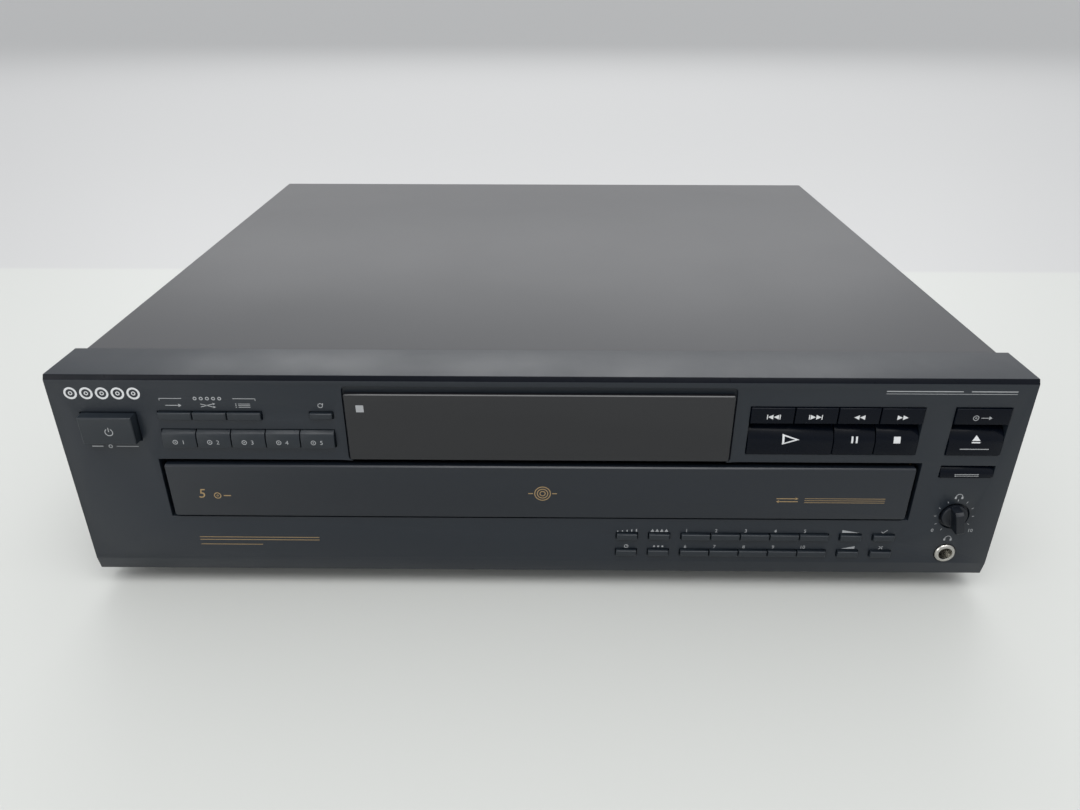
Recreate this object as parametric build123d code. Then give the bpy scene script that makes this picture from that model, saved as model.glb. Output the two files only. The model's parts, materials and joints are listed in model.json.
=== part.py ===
"""Five-disc CD changer: front panel with its keys, steel case, disc drawer, carousel and player mechanism.

Modelled in millimetres. X runs to the right, Y to the back and Z up. Every piece is drawn from the middle
of the front panel's lower edge, and place_in_frame moves it so that the origin lies on the ground under
the middle of the whole unit.
"""
from build123d import *
from math import cos, hypot, pi, radians, sin, tan
import os

os.makedirs("parts", exist_ok=True)

# ---- disc, wells and carousel
disc_radius = 60.0
disc_margin = 0.6
well_count = 5
well_wall = 1.05
disc_thickness = 1.2
well_depth = 4.0
well_floor = 2.0
well_rim = 1.6
carousel_rim = 0.4
carousel_skirt = 1.8
carousel_top = 2.0
slot_radius = 20.0
hub_radius = 37.0
hub_rise = 2.0
hub_chamfer = 1.2
post_radius = 6.0
ring_sides = 72
well_sides = 36
small_sides = 24
post_sides = 16

# ---- walls and clearances
panel_wall = 3.0
panel_shell = 2.4
sheet = 1.0
seat_gap = 0.2
slide_gap = 0.3
running_gap = 0.08
key_gap = 0.35
key_spacing = 0.5
turn_gap = 1.5

# ---- drawer
drawer_travel = 220.0
drawer_rise = 1.7
drawer_floor = 2.0
drawer_wall = 2.0
drawer_height = 17.5
drawer_margin = 3.2
drawer_ahead = 10.0
drawer_behind = 4.0
track_width = 5.0
deck_thickness = 2.0
deck_rise = 7.5
runner_reach = 3.4
runner_thickness = 2.4
notch_gap = 3.0
idler_stud = 5.0

# ---- side bays, outer sizes and feet
rail_wall = 3.0
side_bay = 35.21
panel_overhang = 3.65
rear_space = 25.5
panel_depth = 29.3
upper_field = 39.8
lip_height = 2.1
lip_setback = 1.2
skirt_height = 7.0
skirt_setback = 1.5
foot_clearance = 10.0
foot_radius = 13.0
foot_inset_x = 50.0
foot_front = 52.0
foot_inset_back = 39.5
foot_step = 2.0

# ---- steel case
cover_drop = 0.5
cover_corner = 2.0
cover_gap = 0.25
floor_lift = 0.2
chassis_side_height = 14.0
chassis_front_height = 20.0
rear_lip = 9.0
vent_count = 9
vent_width = 14.0
vent_height = 3.5
vent_pitch = 22.0
vent_levels = (20.0, 30.0)
bead_x = 95.0
bead_y_ahead = 15.0
bead_width = 10.0
bead_length = 150.0
bead_rise = 1.0

# ---- display window
window_inset = 128.9
window_top_inset = 2.6
window_strip = 3.4
window_rebate = 1.8
window_ledge = 2.6
window_proud = 0.9
window_gap = 0.55
window_corner = 2.0

# ---- drawer opening and the drawer's door
slot_margin = 4.8
slot_low = 31.8
slot_height = 31.4
door_side_gap = 2.4
door_low_gap = 1.3
door_top_gap = 2.5
door_proud = 1.1
door_thickness = 4.2
door_chamfer = 0.8
door_corner = 1.3
door_cells = 6

# ---- gears, belts and motors
gear_module = 2.0
hub_teeth = 40
idler_teeth = 10
gear_backlash = 0.5
gear_thickness = 2.6
hub_gear_lift = 2.2
rack_module = 1.5
rack_width = 5.5
rack_depth = 4.2
pinion_teeth = 16
pinion_y = 100.0
stud_radius = 2.0
belt_section = 1.1
belt_gap = 0.3
shaft_radius = 1.0
idler_pulley = 20.0
pinion_pulley = 15.0
pulley_drop = 3.4
pulley_thickness = 1.9
pulley_headroom = 0.4
belt_lift = 0.3
motor_pulley = 4.0
motor_chamfer = 1.0
motor_lift = 1.3
loading_motor_drop = 3.5
stand_radius = 5.0
carousel_motor_side = 4.8
carousel_motor_ahead = 10.5
carousel_motor_radius = 12.2
loading_motor_y = 150.0
loading_motor_radius = 12.0
loading_motor_gap = 6.0

# ---- optical unit
unit_drop = 15.5
unit_half = 48.0
unit_front = 34.0
unit_thickness = 3.0
unit_wall = 2.0
unit_skirt = 5.0
ear_reach = 11.0
ear_half = 8.0
guide_x = 54.0
guide_radius = 2.5
guide_stop = 3.0
guide_y = 21.0
notch_half = 62.0
spindle_motor_radius = 12.0
spindle_motor_height = 11.0
seat_radius = 16.0
seat_drop = 4.0
seat_thickness = 1.6
cone_radius = 7.3
cone_height = 3.0
spindle_radius = 1.5
spindle_length = 7.5
collar_radius = 5.0
cone_bevel = 1.7
sled_reach = 25.0
sled_travel = 33.0
sled_half = 9.0
sled_height = 6.3
lens_radius = 3.2
rod_radius = 1.5
rod_x = 17.0
rod_drop = 2.4
rod_end = 5.0
rod_way = 1.5
sled_side = 2.2
head_half = 8.0
head_drop = 2.6
lens_rise = 0.9
unit_tail = 8.0

# ---- clamp and its bridge
bridge_gap = 4.5
bridge_thickness = 3.0
bridge_half_depth = 24.0
bridge_rib = 5.0
clamp_radius = 15.0
clamp_neck = 11.0
clamp_drop = 2.3
clamp_lip = 1.8
clamp_cap = 3.2
clamp_cup = 3.2
clamp_clearance = 0.5

# ---- mechanism frame
rail_ledge = 4.0
rail_thickness = 3.0
frame_front = 34.0
frame_behind = 12.0
frame_foot = 3.0
frame_flange = 2.0
rib_wall = 2.0
leg_length = 28.0
arch_lift = 4.0
beam_depth = 22.0

# ---- knob and headphone jack, from the panel's right edge
knob_inset = 21.2
knob_z = 34.5
knob_reach = 7.2
knob_base = 6.0
knob_base_proud = 1.2
knob_recess = 7.0
recess_depth = 1.5
grip_length = 12.0
grip_width = 3.8
knob_lean = 13.0
pot_radius = 3.0
pot_depth = 5.0
pot_body = 8.0
jack_inset = 20.8
jack_z = 13.2
ring_radius = 4.9
ring_proud = 0.9
jack_bore = 3.22
jack_length = 30.0
jack_body = 13.0
jack_below = 9.0
jack_above = 7.0

# ---- boards and transformer
board_y = 18.0
board_thickness = 1.6
board_gap = 0.5
switch_height = 4.0
switch_size = 6.0
key_travel = 0.9
power_travel = 3.0
lower_board_inset = 187.0
lower_board_low = 4.0
slot_board_gap = 3.0
jack_clear_z = 23.0
main_board_side = 22.0
main_board_width = 190.0
main_board_front = 70.0
main_board_behind = 17.0
standoff_height = 5.0
standoff_inset = 10.0
capacitors = ((22.0, 30.0, 8.0, 17.0), (42.0, 30.0, 8.0, 17.0), (22.0, 60.0, 6.5, 15.0), (90.0, 130.0, 5.0, 11.0))
chips = ((70.0, 30.0, 32.0, 32.0), (130.0, 50.0, 26.0, 40.0))
chip_height = 3.0
sink_place = (4.0, 106.0)
sink_size = (56.0, 4.0, 17.0)
fin_count = 6
fin_pitch = 9.0
fin_depth = 8.0
fin_wall = 1.5
tube_inset = 14.1
tube_gap = 3.2
tube_low_inset = 6.0
tube_top_inset = 9.0
transformer_behind = 96.5
core_depth = 54.0
core_height = 46.0
coil_depth = 34.0
coil_corner = 4.0
core_gap = 3.0
core_overhang = 1.3
coil_inset = 9.0
mount_depth = 70.0

# ---- rear sockets: places seen from the front, in X and Z
socket_reach = 8.6
socket_middle = (139.0, 70.0)
socket_spacing = (22.0, 16.0)
socket_plate = (40.0, 30.0)
barrel_radius = 4.15
socket_bore = 1.65
socket_bore_depth = 7.0
socket_proud = 0.6
optical_place = (96.0, 70.0)
optical_size = (12.0, 10.0)
gland_inset = 35.35
gland_z = 24.0
gland_body = 5.8
gland_flange = 8.0
gland_bore = 3.4
gland_reach = 3.5

# ---- sizes and places worked out from the ones above
well_radius = disc_radius + disc_margin
well_circle = (well_radius + well_wall / 2) / sin(pi / well_count)
carousel_radius = well_circle + well_radius + carousel_rim
track_inner = carousel_radius - track_width
carousel_y = carousel_radius + drawer_ahead
play_y = carousel_y + well_circle
drawer_half = carousel_radius + drawer_margin
drawer_back = carousel_y + carousel_radius + drawer_behind
rail_inner = drawer_half + runner_reach + slide_gap
rail_outer = rail_inner + rail_wall
cover_width = 2 * (rail_outer + side_bay + sheet + cover_gap)
panel_width = cover_width + 2 * panel_overhang
panel_left = -panel_width / 2
panel_right = panel_width / 2
slot_high = slot_low + slot_height
panel_face_height = slot_high + upper_field
panel_height = panel_face_height + lip_height
window_low = slot_high
window_high = panel_face_height - window_top_inset
body_depth = drawer_back + rear_space
cover_top = panel_height - cover_drop
inner_floor = panel_shell + floor_lift + sheet
slot_half = drawer_half + slot_margin
window_half = panel_width / 2 - window_inset
drawer_low = slot_low + drawer_rise
drawer_top = drawer_low + drawer_height
gear_low = drawer_low + drawer_floor + slide_gap
deck_low = drawer_low + deck_rise
well_level = deck_low + well_floor
rim_level = well_level + well_depth
runner_low = drawer_top - runner_thickness
bridge_low = drawer_top + bridge_gap
door_back = door_thickness - door_proud
cone_top = drawer_low - 1.0
seat_top = cone_top - cone_height
unit_top = drawer_low - unit_drop
lift_travel = bridge_low - clamp_drop - seat_top - disc_thickness - clamp_clearance
lift_y = play_y + guide_y
unit_back = sled_reach + sled_travel + sled_half + unit_tail
frame_back = drawer_back + frame_behind
switch_y = board_y - switch_height
key_end = switch_y - key_travel - 0.1
rear_wall_y = body_depth - sheet - seat_gap - sheet
flange_y = panel_depth - 2.2
foot_back = body_depth - foot_inset_back
bead_y = carousel_y - bead_y_ahead
main_board_left = main_board_side - rail_inner
main_board_back = play_y - unit_front - main_board_behind
transformer_y = body_depth - transformer_behind
gland_place = (gland_inset - cover_width / 2, gland_z)
knob_x = panel_right - knob_inset
lower_board_left = panel_right - lower_board_inset
jack_x = panel_right - jack_inset
idler_distance = gear_module * (hub_teeth + idler_teeth) / 2
pocket_front = door_back + seat_gap + drawer_wall
carousel_motor_x = -(track_inner - carousel_motor_side - carousel_motor_radius)
carousel_motor_y = pocket_front + carousel_motor_ahead + carousel_motor_radius
motor_bearing = hypot(carousel_motor_x, carousel_motor_y - carousel_y)
idler_x = carousel_motor_x / motor_bearing * idler_distance
idler_y = carousel_y + (carousel_motor_y - carousel_y) / motor_bearing * idler_distance
rack_root = drawer_half - rack_depth
rack_pitch_x = rack_root + 1.1 * rack_module
pinion_x = rack_pitch_x + rack_module * pinion_teeth / 2
pulley_shelf = drawer_low - pulley_drop
loading_motor_x = rail_outer + loading_motor_gap + loading_motor_radius
whole_depth = knob_reach + body_depth + socket_reach
place_in_frame = Pos(0, knob_reach - whole_depth / 2, foot_clearance)


# ---- shapes that repeat
def save(name, *solids):
    """Write one named piece, or one group of like pieces, as a STEP file."""
    placed = [place_in_frame * solid for solid in solids]
    export_step(placed[0] if len(placed) == 1 else Compound(children=placed), f"parts/{name}.step")


def block(x0, x1, y0, y1, z0, z1):
    """A rectangular bar between two corners."""
    return Pos((x0 + x1) / 2, (y0 + y1) / 2, (z0 + z1) / 2) * Box(x1 - x0, y1 - y0, z1 - z0)


def slab(x0, x1, z0, z1, y0, y1, corner=0.0):
    """A plate seen from the front, with rounded corners, from y0 back to y1."""
    width = x1 - x0
    height = z1 - z0
    outline = RectangleRounded(width, height, corner) if corner else Rectangle(width, height)
    return extrude(Plane.XZ.offset(-y1) * Pos((x0 + x1) / 2, (z0 + z1) / 2) * outline, amount=y1 - y0)


def across(points, x0, x1):
    """A profile drawn in Y and Z, run from x0 to x1."""
    return extrude(Plane.YZ.offset(x0) * make_face(Polyline(*points, close=True)), amount=x1 - x0)


def disc(x, y, z0, z1, radius):
    """An upright cylinder."""
    return Pos(x, y, (z0 + z1) / 2) * Cylinder(radius, z1 - z0)


def many_sided(x, y, z0, z1, radius, sides):
    """An upright prism with so many sides that it passes for a cylinder."""
    return extrude(Plane.XY.offset(z0) * Pos(x, y) * RegularPolygon(radius, sides), amount=z1 - z0)


def rod_back(x, z, y0, y1, radius):
    """A cylinder that runs from the front to the back."""
    return Pos(x, (y0 + y1) / 2, z) * Rot(X=90) * Cylinder(radius, y1 - y0)


def gear(teeth, module, z0, z1, x=0.0, y=0.0, turn=0.0):
    """A spur gear with straight flanks, thinned by the backlash. A tooth's middle lies at turn degrees."""
    pitch_radius = module * teeth / 2
    tip = pitch_radius + 0.8 * module
    root = pitch_radius - 1.1 * module
    half = pi * module / 4 - gear_backlash / 2
    points = []
    for number in range(teeth):
        middle = radians(turn) + 2 * pi * number / teeth
        for radius, side in ((root, -1), (tip, -1), (tip, 1), (root, 1)):
            thick = half - (radius - pitch_radius) * tan(radians(20))
            angle = middle + side * thick / radius
            points.append((x + radius * cos(angle), y + radius * sin(angle)))
    return extrude(Plane.XY.offset(z0) * make_face(Polyline(*points, close=True)), amount=z1 - z0)


def belt(x0, y0, r0, x1, y1, r1, z0, z1):
    """A flat belt round two pulleys, whose middles are at (x0, y0) and (x1, y1)."""
    loops = []
    for grow in (belt_gap + belt_section, belt_gap):
        circles = Pos(x0, y0) * RegularPolygon(r0 + grow, small_sides)
        circles += Pos(x1, y1) * RegularPolygon(r1 + grow, small_sides)
        span = hypot(x1 - x0, y1 - y0)
        lean = (r0 - r1) / span
        rise = (1 - lean**2) ** 0.5
        along = ((x1 - x0) / span, (y1 - y0) / span)
        corners = []
        for side, ends in ((1, ((x0, y0, r0), (x1, y1, r1))), (-1, ((x1, y1, r1), (x0, y0, r0)))):
            for x, y, radius in ends:
                out_x = lean * along[0] - side * rise * along[1]
                out_y = lean * along[1] + side * rise * along[0]
                corners.append((x + (radius + grow) * out_x, y + (radius + grow) * out_y))
        loops.append(circles + make_face(Polyline(*corners, close=True)))
    return extrude(Plane.XY.offset(z0) * (loops[0] - loops[1]), amount=z1 - z0)


# ---- keys: name, left, right, bottom, top edge of each group of keys that share one opening
play_mode_names = ["continue_key", "shuffle_key", "program_key"]
play_mode_area = (panel_left + 46.5, panel_left + 92.8, slot_high + 20.5, slot_high + 24.8)
repeat_names = ["repeat_key"]
repeat_area = (panel_left + 113.7, panel_left + 124.3, slot_high + 21.2, slot_high + 24.8)
disc_names = [f"disc_key_{number}" for number in range(1, 6)]
disc_area = (panel_left + 46.5, panel_left + 124.0, slot_high + 6.8, slot_high + 15.8)
power_names = ["power_key"]
power_area = (panel_left + 12.0, panel_left + 37.0, slot_high + 9.6, slot_high + 24.1)
number_left = panel_right - 147.8
number_right = panel_right - 77.7
upper_row = (20.2, 24.0)
lower_row = (10.8, 14.6)
small_columns = [("scan", 173.3), ("edit", 158.0), ("fade", 67.5), ("check", 51.9)]
small_width = 10.4
small_lower = {"scan": "time_key", "edit": "mode_key", "fade": "fader_key", "check": "clear_key"}
transport_area = (panel_right - 122.5, panel_right - 46.2, slot_high + 4.3, slot_high + 28.5)
right_area = (panel_right - 33.2, panel_right - 8.5, slot_high + 4.3, slot_high + 28.5)
exchange_area = (panel_right - 33.3, panel_right - 8.7, slot_high - 7.5, slot_high - 1.2)
row_split = slot_high + 20.0
row_gap = 1.4
transport_splits = [panel_right - inset for inset in (103.0, 84.0, 65.5)]
lower_splits = transport_splits[1:]
key_round = 8.5
exchange_round = 4.6
key_proud = 1.6
well_back = 11.0
well_shell = 1.4
slot_back = 9.0
slot_shell = 1.8
floor_posts = (25.0, 115.0, 205.0)
floor_post_z = 14.0
floor_post_half = 3.4
board_post_half = 2.2
board_post_drop = 6.0
stem_half = (1.6, 1.2)
flange_lip = 0.7
flange_thickness = 1.2
key_bevel = 0.35
disc_key_profile = ((-1.9, 3.4), (-1.3, 1.3), (0.5, 0.0))
round_key_front = -0.5
top_key_proud = 0.9
power_proud = 4.7
power_taper = 2.0
power_bevel = 0.4


def key_row(names, area, flange=(True, True)):
    """Split one opening into equal keys. Gives name, left, right, bottom, top, and which flanges it has."""
    left, right, low, high = area
    pitch = (right - left - 2 * key_gap + key_spacing) / len(names)
    row = []
    for number, name in enumerate(names):
        x0 = left + key_gap + number * pitch
        row.append((name, x0, x0 + pitch - key_spacing, low + key_gap, high - key_gap, flange))
    return row


def split_row(names, left, right, splits, low, high, flange):
    """Split one opening into keys at the given places."""
    edges = [left + key_gap - key_spacing / 2] + splits + [right - key_gap + key_spacing / 2]
    row = []
    for number, name in enumerate(names):
        x0 = edges[number] + key_spacing / 2
        x1 = edges[number + 1] - key_spacing / 2
        row.append((name, x0, x1, low, high, flange))
    return row


flat_keys = key_row(play_mode_names, play_mode_area)
flat_keys += key_row(repeat_names, repeat_area)
number_area_upper = (number_left, number_right, upper_row[0], upper_row[1])
number_area_lower = (number_left, number_right, lower_row[0], lower_row[1])
flat_keys += key_row([f"number_key_{number}" for number in range(1, 6)], number_area_upper)
flat_keys += key_row([f"number_key_{number}" for number in range(6, 11)], number_area_lower)
small_areas = []
for label, inset in small_columns:
    middle = panel_right - inset
    for row, name in ((upper_row, f"{label}_key"), (lower_row, small_lower[label])):
        area = (middle - small_width / 2, middle + small_width / 2, row[0], row[1])
        small_areas.append(area)
        flat_keys += key_row([name], area)
top_row = split_row(
    ["previous_key", "next_key", "rewind_key", "forward_key"],
    transport_area[0], transport_area[1], transport_splits,
    row_split + key_gap, transport_area[3] - key_gap, (False, True),
)
top_row += split_row(
    ["disc_skip_key"], right_area[0], right_area[1], [],
    row_split + key_gap, right_area[3] - key_gap, (False, True),
)
round_row = split_row(
    ["play_key", "pause_key", "stop_key"],
    transport_area[0], transport_area[1], lower_splits,
    transport_area[2] + key_gap, row_split - row_gap, (True, False),
)
round_row += split_row(
    ["open_key"], right_area[0], right_area[1], [],
    right_area[2] + key_gap, row_split - row_gap, (True, False),
)
disc_row = key_row(disc_names, disc_area)
power_row = key_row(power_names, power_area)
exchange_row = key_row(["exchange_key"], exchange_area, (True, False))
key_openings = [play_mode_area, repeat_area, disc_area, power_area, number_area_upper, number_area_lower]
key_openings += small_areas
well_openings = [transport_area, right_area, exchange_area]


# ---- front panel and what it carries
def front_panel():
    """Moulded front: bevelled face, all openings, wells behind the tall keys, posts for the key board."""
    outline = [
        (skirt_setback, 0), (0, skirt_height), (0, panel_face_height), (lip_setback, panel_height),
        (panel_depth, panel_height), (panel_depth, 0),
    ]
    body = across(outline, panel_left, panel_right)
    inner = panel_right - panel_shell
    body -= block(-inner, inner, panel_wall, panel_depth + 1, panel_shell, panel_height - panel_shell)
    for x0, x1, z0, z1 in well_openings:
        body += slab(
            x0 - well_shell, x1 + well_shell, z0 - well_shell, z1 + well_shell, panel_wall - 0.5, well_back,
        )
    tunnel = slot_half + slot_shell
    body += slab(-tunnel, tunnel, slot_low - slot_shell, slot_high + slot_shell, panel_wall - 0.5, slot_back)
    body += post_at(knob_x, knob_z, knob_recess + recess_depth, panel_wall + recess_depth)
    for inset in floor_posts:
        body += post_at(panel_left + inset, floor_post_z, floor_post_half, flange_y - 0.1)
    for x in (panel_left + 9.0, panel_left + 103.0, panel_right - 125.0, panel_right - 40.0):
        body += post_at(x, panel_face_height - board_post_drop, board_post_half, board_y)
    body -= slab(-slot_half, slot_half, slot_low, slot_high, -1, slot_back + 1)
    for x0, x1, z0, z1 in key_openings:
        body -= slab(x0, x1, z0, z1, -1, panel_wall + 1)
    for x0, x1, z0, z1 in well_openings:
        body -= slab(x0, x1, z0, z1, -1, well_back + 1)
    body -= slab(-window_half, window_half, window_low, window_high, -1, window_rebate, corner=window_corner)
    body -= slab(
        -window_half + window_ledge, window_half - window_ledge,
        window_low + window_ledge, window_high - window_strip - window_ledge, -1, panel_wall + 1,
    )
    body -= rod_back(knob_x, knob_z, -1, recess_depth, knob_recess)
    body -= rod_back(knob_x, knob_z, -1, panel_wall + recess_depth + 1, pot_radius + running_gap)
    body -= rod_back(jack_x, jack_z, -1, panel_wall + 1, ring_radius + seat_gap)
    return body


def post_at(x, z, half, back):
    """A square post on the back of the panel's front wall."""
    return block(x - half, x + half, panel_wall - 0.5, back, z - half, z + half)


def display_window():
    """Smoked pane that lies in the panel's rebate, its front edge bevelled all round."""
    x = window_half - window_gap
    pane = slab(
        -x, x, window_low + window_gap, window_high - window_strip,
        -window_proud, window_rebate - seat_gap, corner=1.0,
    )
    return chamfer(pane.faces().sort_by(Axis.Y)[0].edges(), 0.5)


def stem_for(x0, x1, z_middle, start):
    """The rib on the back of a key that pushes its switch."""
    middle = (x0 + x1) / 2
    half, high = stem_half
    return block(middle - half, middle + half, start, key_end, z_middle - high, z_middle + high)


def flange_for(x0, x1, z0, z1, sides, start):
    """The lip behind the panel that keeps a key in its opening."""
    low = z0 - key_gap - flange_lip if sides[0] else z0
    high = z1 + key_gap + flange_lip if sides[1] else z1
    return block(x0, x1, start, start + flange_thickness, low, high)


def flat_key(x0, x1, z0, z1, sides, back=panel_wall, proud=key_proud):
    """A low key: rounded front edges, lip behind the panel and stem to the switch."""
    body = slab(x0, x1, z0, z1, -proud, back + seat_gap + 0.4)
    body = chamfer(body.faces().sort_by(Axis.Y)[0].edges(), key_bevel)
    body += flange_for(x0, x1, z0, z1, sides, back + seat_gap)
    return body + stem_for(x0, x1, (z0 + z1) / 2, back + seat_gap + 0.5)


def bevelled_key(x0, x1, z0, z1, sides):
    """A disc key: its front slopes back towards the top in a wide bevel."""
    back = panel_wall + seat_gap + 0.4
    profile = [(disc_key_profile[0][0], z0)]
    profile += [(y, z1 - drop) for y, drop in disc_key_profile]
    profile += [(back, z1), (back, z0)]
    body = across(profile, x0, x1)
    body += flange_for(x0, x1, z0, z1, sides, panel_wall + seat_gap)
    return body + stem_for(x0, x1, (z0 + z1) / 2, panel_wall + 0.5)


def rounded_key(x0, x1, z0, z1, sides, radius, back):
    """A tall key whose top is a quarter round that runs back into its well."""
    front = round_key_front
    with BuildPart() as made:
        with BuildSketch(Plane.YZ.offset(x0)):
            with BuildLine():
                Line((back, z0), (front, z0))
                Line((front, z0), (front, z1 - radius))
                RadiusArc((front, z1 - radius), (front + radius, z1), radius)
                Line((front + radius, z1), (back, z1))
                Line((back, z1), (back, z0))
            make_face()
        extrude(amount=x1 - x0)
    body = made.part + flange_for(x0, x1, z0, z1, sides, back - 0.1)
    return body + stem_for(x0, x1, (z0 + z1) / 2, back + 0.5)


def power_key(x0, x1, z0, z1):
    """The power key: a deep drafted button with a lip behind the panel."""
    back = panel_wall + seat_gap
    root = Plane.XZ.offset(-back) * Pos((x0 + x1) / 2, (z0 + z1) / 2) * Rectangle(x1 - x0, z1 - z0)
    body = extrude(root, amount=back + power_proud, taper=power_taper)
    body = chamfer(body.faces().sort_by(Axis.Y)[0].edges(), power_bevel)
    body += flange_for(x0, x1, z0, z1, (True, True), back - 0.001)
    middle = (x0 + x1) / 2
    height = (z0 + z1) / 2
    half = stem_half[0]
    stem_end = key_end - power_travel + key_travel
    return body + block(middle - half, middle + half, back + 1, stem_end, height - half, height + half)


def make_keys():
    """Write every key as its own piece."""
    places = []
    for name, x0, x1, z0, z1, sides in flat_keys:
        save(name, flat_key(x0, x1, z0, z1, sides))
        places.append(((x0 + x1) / 2, (z0 + z1) / 2))
    for name, x0, x1, z0, z1, sides in top_row:
        save(name, flat_key(x0, x1, z0, z1, sides, back=well_back, proud=top_key_proud))
        places.append(((x0 + x1) / 2, (z0 + z1) / 2))
    for name, x0, x1, z0, z1, sides in disc_row:
        save(name, bevelled_key(x0, x1, z0, z1, sides))
        places.append(((x0 + x1) / 2, (z0 + z1) / 2))
    for name, x0, x1, z0, z1, sides in round_row:
        save(name, rounded_key(x0, x1, z0, z1, sides, key_round, well_back + seat_gap + 0.1))
        places.append(((x0 + x1) / 2, (z0 + z1) / 2))
    for name, x0, x1, z0, z1, sides in exchange_row:
        save(name, rounded_key(x0, x1, z0, z1, sides, exchange_round, well_back + seat_gap + 0.1))
        places.append(((x0 + x1) / 2, (z0 + z1) / 2))
    for name, x0, x1, z0, z1, sides in power_row:
        save(name, power_key(x0, x1, z0, z1))
        places.append(((x0 + x1) / 2, (z0 + z1) / 2))
    return places


def level_knob():
    """Round base with a blade grip across it, leaning to the left, and a shaft to its control."""
    body = rod_back(0, 0, -knob_base_proud, recess_depth - seat_gap, knob_base)
    body = chamfer(body.faces().sort_by(Axis.Y)[0].edges(), 0.5)
    half = grip_length / 2
    blade = [(-knob_reach, -half + 1.0), (-knob_reach, half - 1.4), (-knob_reach + 1.4, half)]
    blade += [(-0.8, half), (-0.8, -half), (-knob_reach + 1.0, -half)]
    body += across(blade, -grip_width / 2, grip_width / 2)
    body += rod_back(0, 0, recess_depth - 1, board_y - pot_depth, pot_radius)
    return Pos(knob_x, 0, knob_z) * Rot(Y=-knob_lean) * body


def phone_jack():
    """Headphone socket: bright threaded ring in front of its body, with a 6.35 mm plug's bore."""
    body = rod_back(jack_x, jack_z, -ring_proud, panel_wall + 0.6, ring_radius)
    body = chamfer(body.faces().sort_by(Axis.Y)[0].edges(), 0.6)
    body += block(
        jack_x - jack_body / 2, jack_x + jack_body / 2, panel_wall + 0.3, jack_length + 2,
        jack_z - jack_below, jack_z + jack_above,
    )
    return body - rod_back(jack_x, jack_z, -2, jack_length, jack_bore)


# ---- drawer, carousel and their drive
def round_axis(radius, z0, z1):
    """A many-sided upright prism round the carousel's axis."""
    return many_sided(0, carousel_y, z0, z1, radius, ring_sides)


def idler_slot():
    """The way through the drawer's circular wall for the carousel belt."""
    wide = motor_pulley + belt_gap + belt_section + 9.0
    span = motor_bearing - idler_distance
    turn = 90 + degrees_of(carousel_motor_x, carousel_motor_y - carousel_y)
    middle_x = (carousel_motor_x + idler_x) / 2
    middle_y = (carousel_motor_y + idler_y) / 2
    return Pos(middle_x, middle_y, gear_low + 1.3) * Rot(Z=turn) * Box(2 * wide, span, 3.4)


def degrees_of(x, y):
    """The bearing of a direction, in degrees from +X."""
    return Vector(1, 0, 0).get_signed_angle(Vector(x, y, 0), Vector(0, 0, 1))


def drawer():
    """Moulded tray: round recess for the carousel, open corners below, runners, rack, rear notch."""
    front = door_back + seat_gap
    body = block(-drawer_half, drawer_half, front, drawer_back, drawer_low, drawer_top)
    pocket = block(
        -track_inner, track_inner, pocket_front, drawer_back - drawer_wall,
        drawer_low - 1, drawer_top - deck_thickness,
    )
    recess = carousel_radius + turn_gap
    body -= pocket - round_axis(recess + drawer_wall, drawer_low - 2, drawer_top)
    body -= round_axis(track_inner, drawer_low + drawer_floor, drawer_top + 1)
    body -= round_axis(recess, deck_low - slide_gap, drawer_top + 1)
    notch_front = play_y - unit_front - notch_gap
    body -= block(-notch_half, notch_half, notch_front, drawer_back + 1, drawer_low - 1, drawer_top + 1)
    reach = drawer_half + runner_reach
    for side in (-1, 1):
        edges = sorted((side * (drawer_half - 1), side * reach))
        body += block(edges[0], edges[1], front, drawer_back, runner_low, drawer_top)
    body += disc(0, carousel_y, drawer_low + 1, rim_level + 1, post_radius)
    body += disc(idler_x, idler_y, drawer_low + 1, gear_low + idler_stud, stud_radius)
    body -= idler_slot()
    body -= block(rack_root, reach + 1, front + 2, drawer_back + 1, drawer_low - 1, drawer_low + rack_width + 1)
    return body + rack()


def rack():
    """The row of teeth on the right side of the drawer that the loading pinion drives."""
    pitch = pi * rack_module
    tip = rack_pitch_x + 0.8 * rack_module
    half = pitch / 4 - gear_backlash / 2
    slope = tan(radians(20))
    count_back = int(drawer_travel / pitch) + 3
    points = []
    for number in range(-2, count_back + 1):
        middle = pinion_y + (number + 0.5) * pitch
        wide = half + (rack_pitch_x - rack_root) * slope
        narrow = half - (tip - rack_pitch_x) * slope
        points += [(rack_root, middle - wide), (tip, middle - narrow)]
        points += [(tip, middle + narrow), (rack_root, middle + wide)]
    points += [(rack_root - 1.5, points[-1][1] + 1), (rack_root - 1.5, points[0][1] - 1)]
    face = make_face(Polyline(*points, close=True))
    return extrude(Plane.XY.offset(drawer_low) * face, amount=rack_width)


def drawer_front():
    """Door of the drawer: bevelled top edge, rounded lower corners, ribbed hollow back."""
    x = slot_half - door_side_gap
    low = slot_low + door_low_gap
    high = slot_high - door_top_gap
    body = slab(-x, x, low, high, -door_proud, door_back)
    body = fillet(body.edges().filter_by(Axis.Y).group_by(Axis.Z)[0], door_corner)
    front_top = body.faces().sort_by(Axis.Y)[0].edges().sort_by(Axis.Z)[-1]
    body = chamfer(front_top, door_chamfer)
    cell = (2 * x - 4) / door_cells
    for number in range(door_cells):
        left = -x + 2 + number * cell
        body -= slab(left + 0.8, left + cell - 0.8, drawer_top + 1.5, high - 1.6, door_back - 2.2, door_back + 1)
    return body


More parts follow.
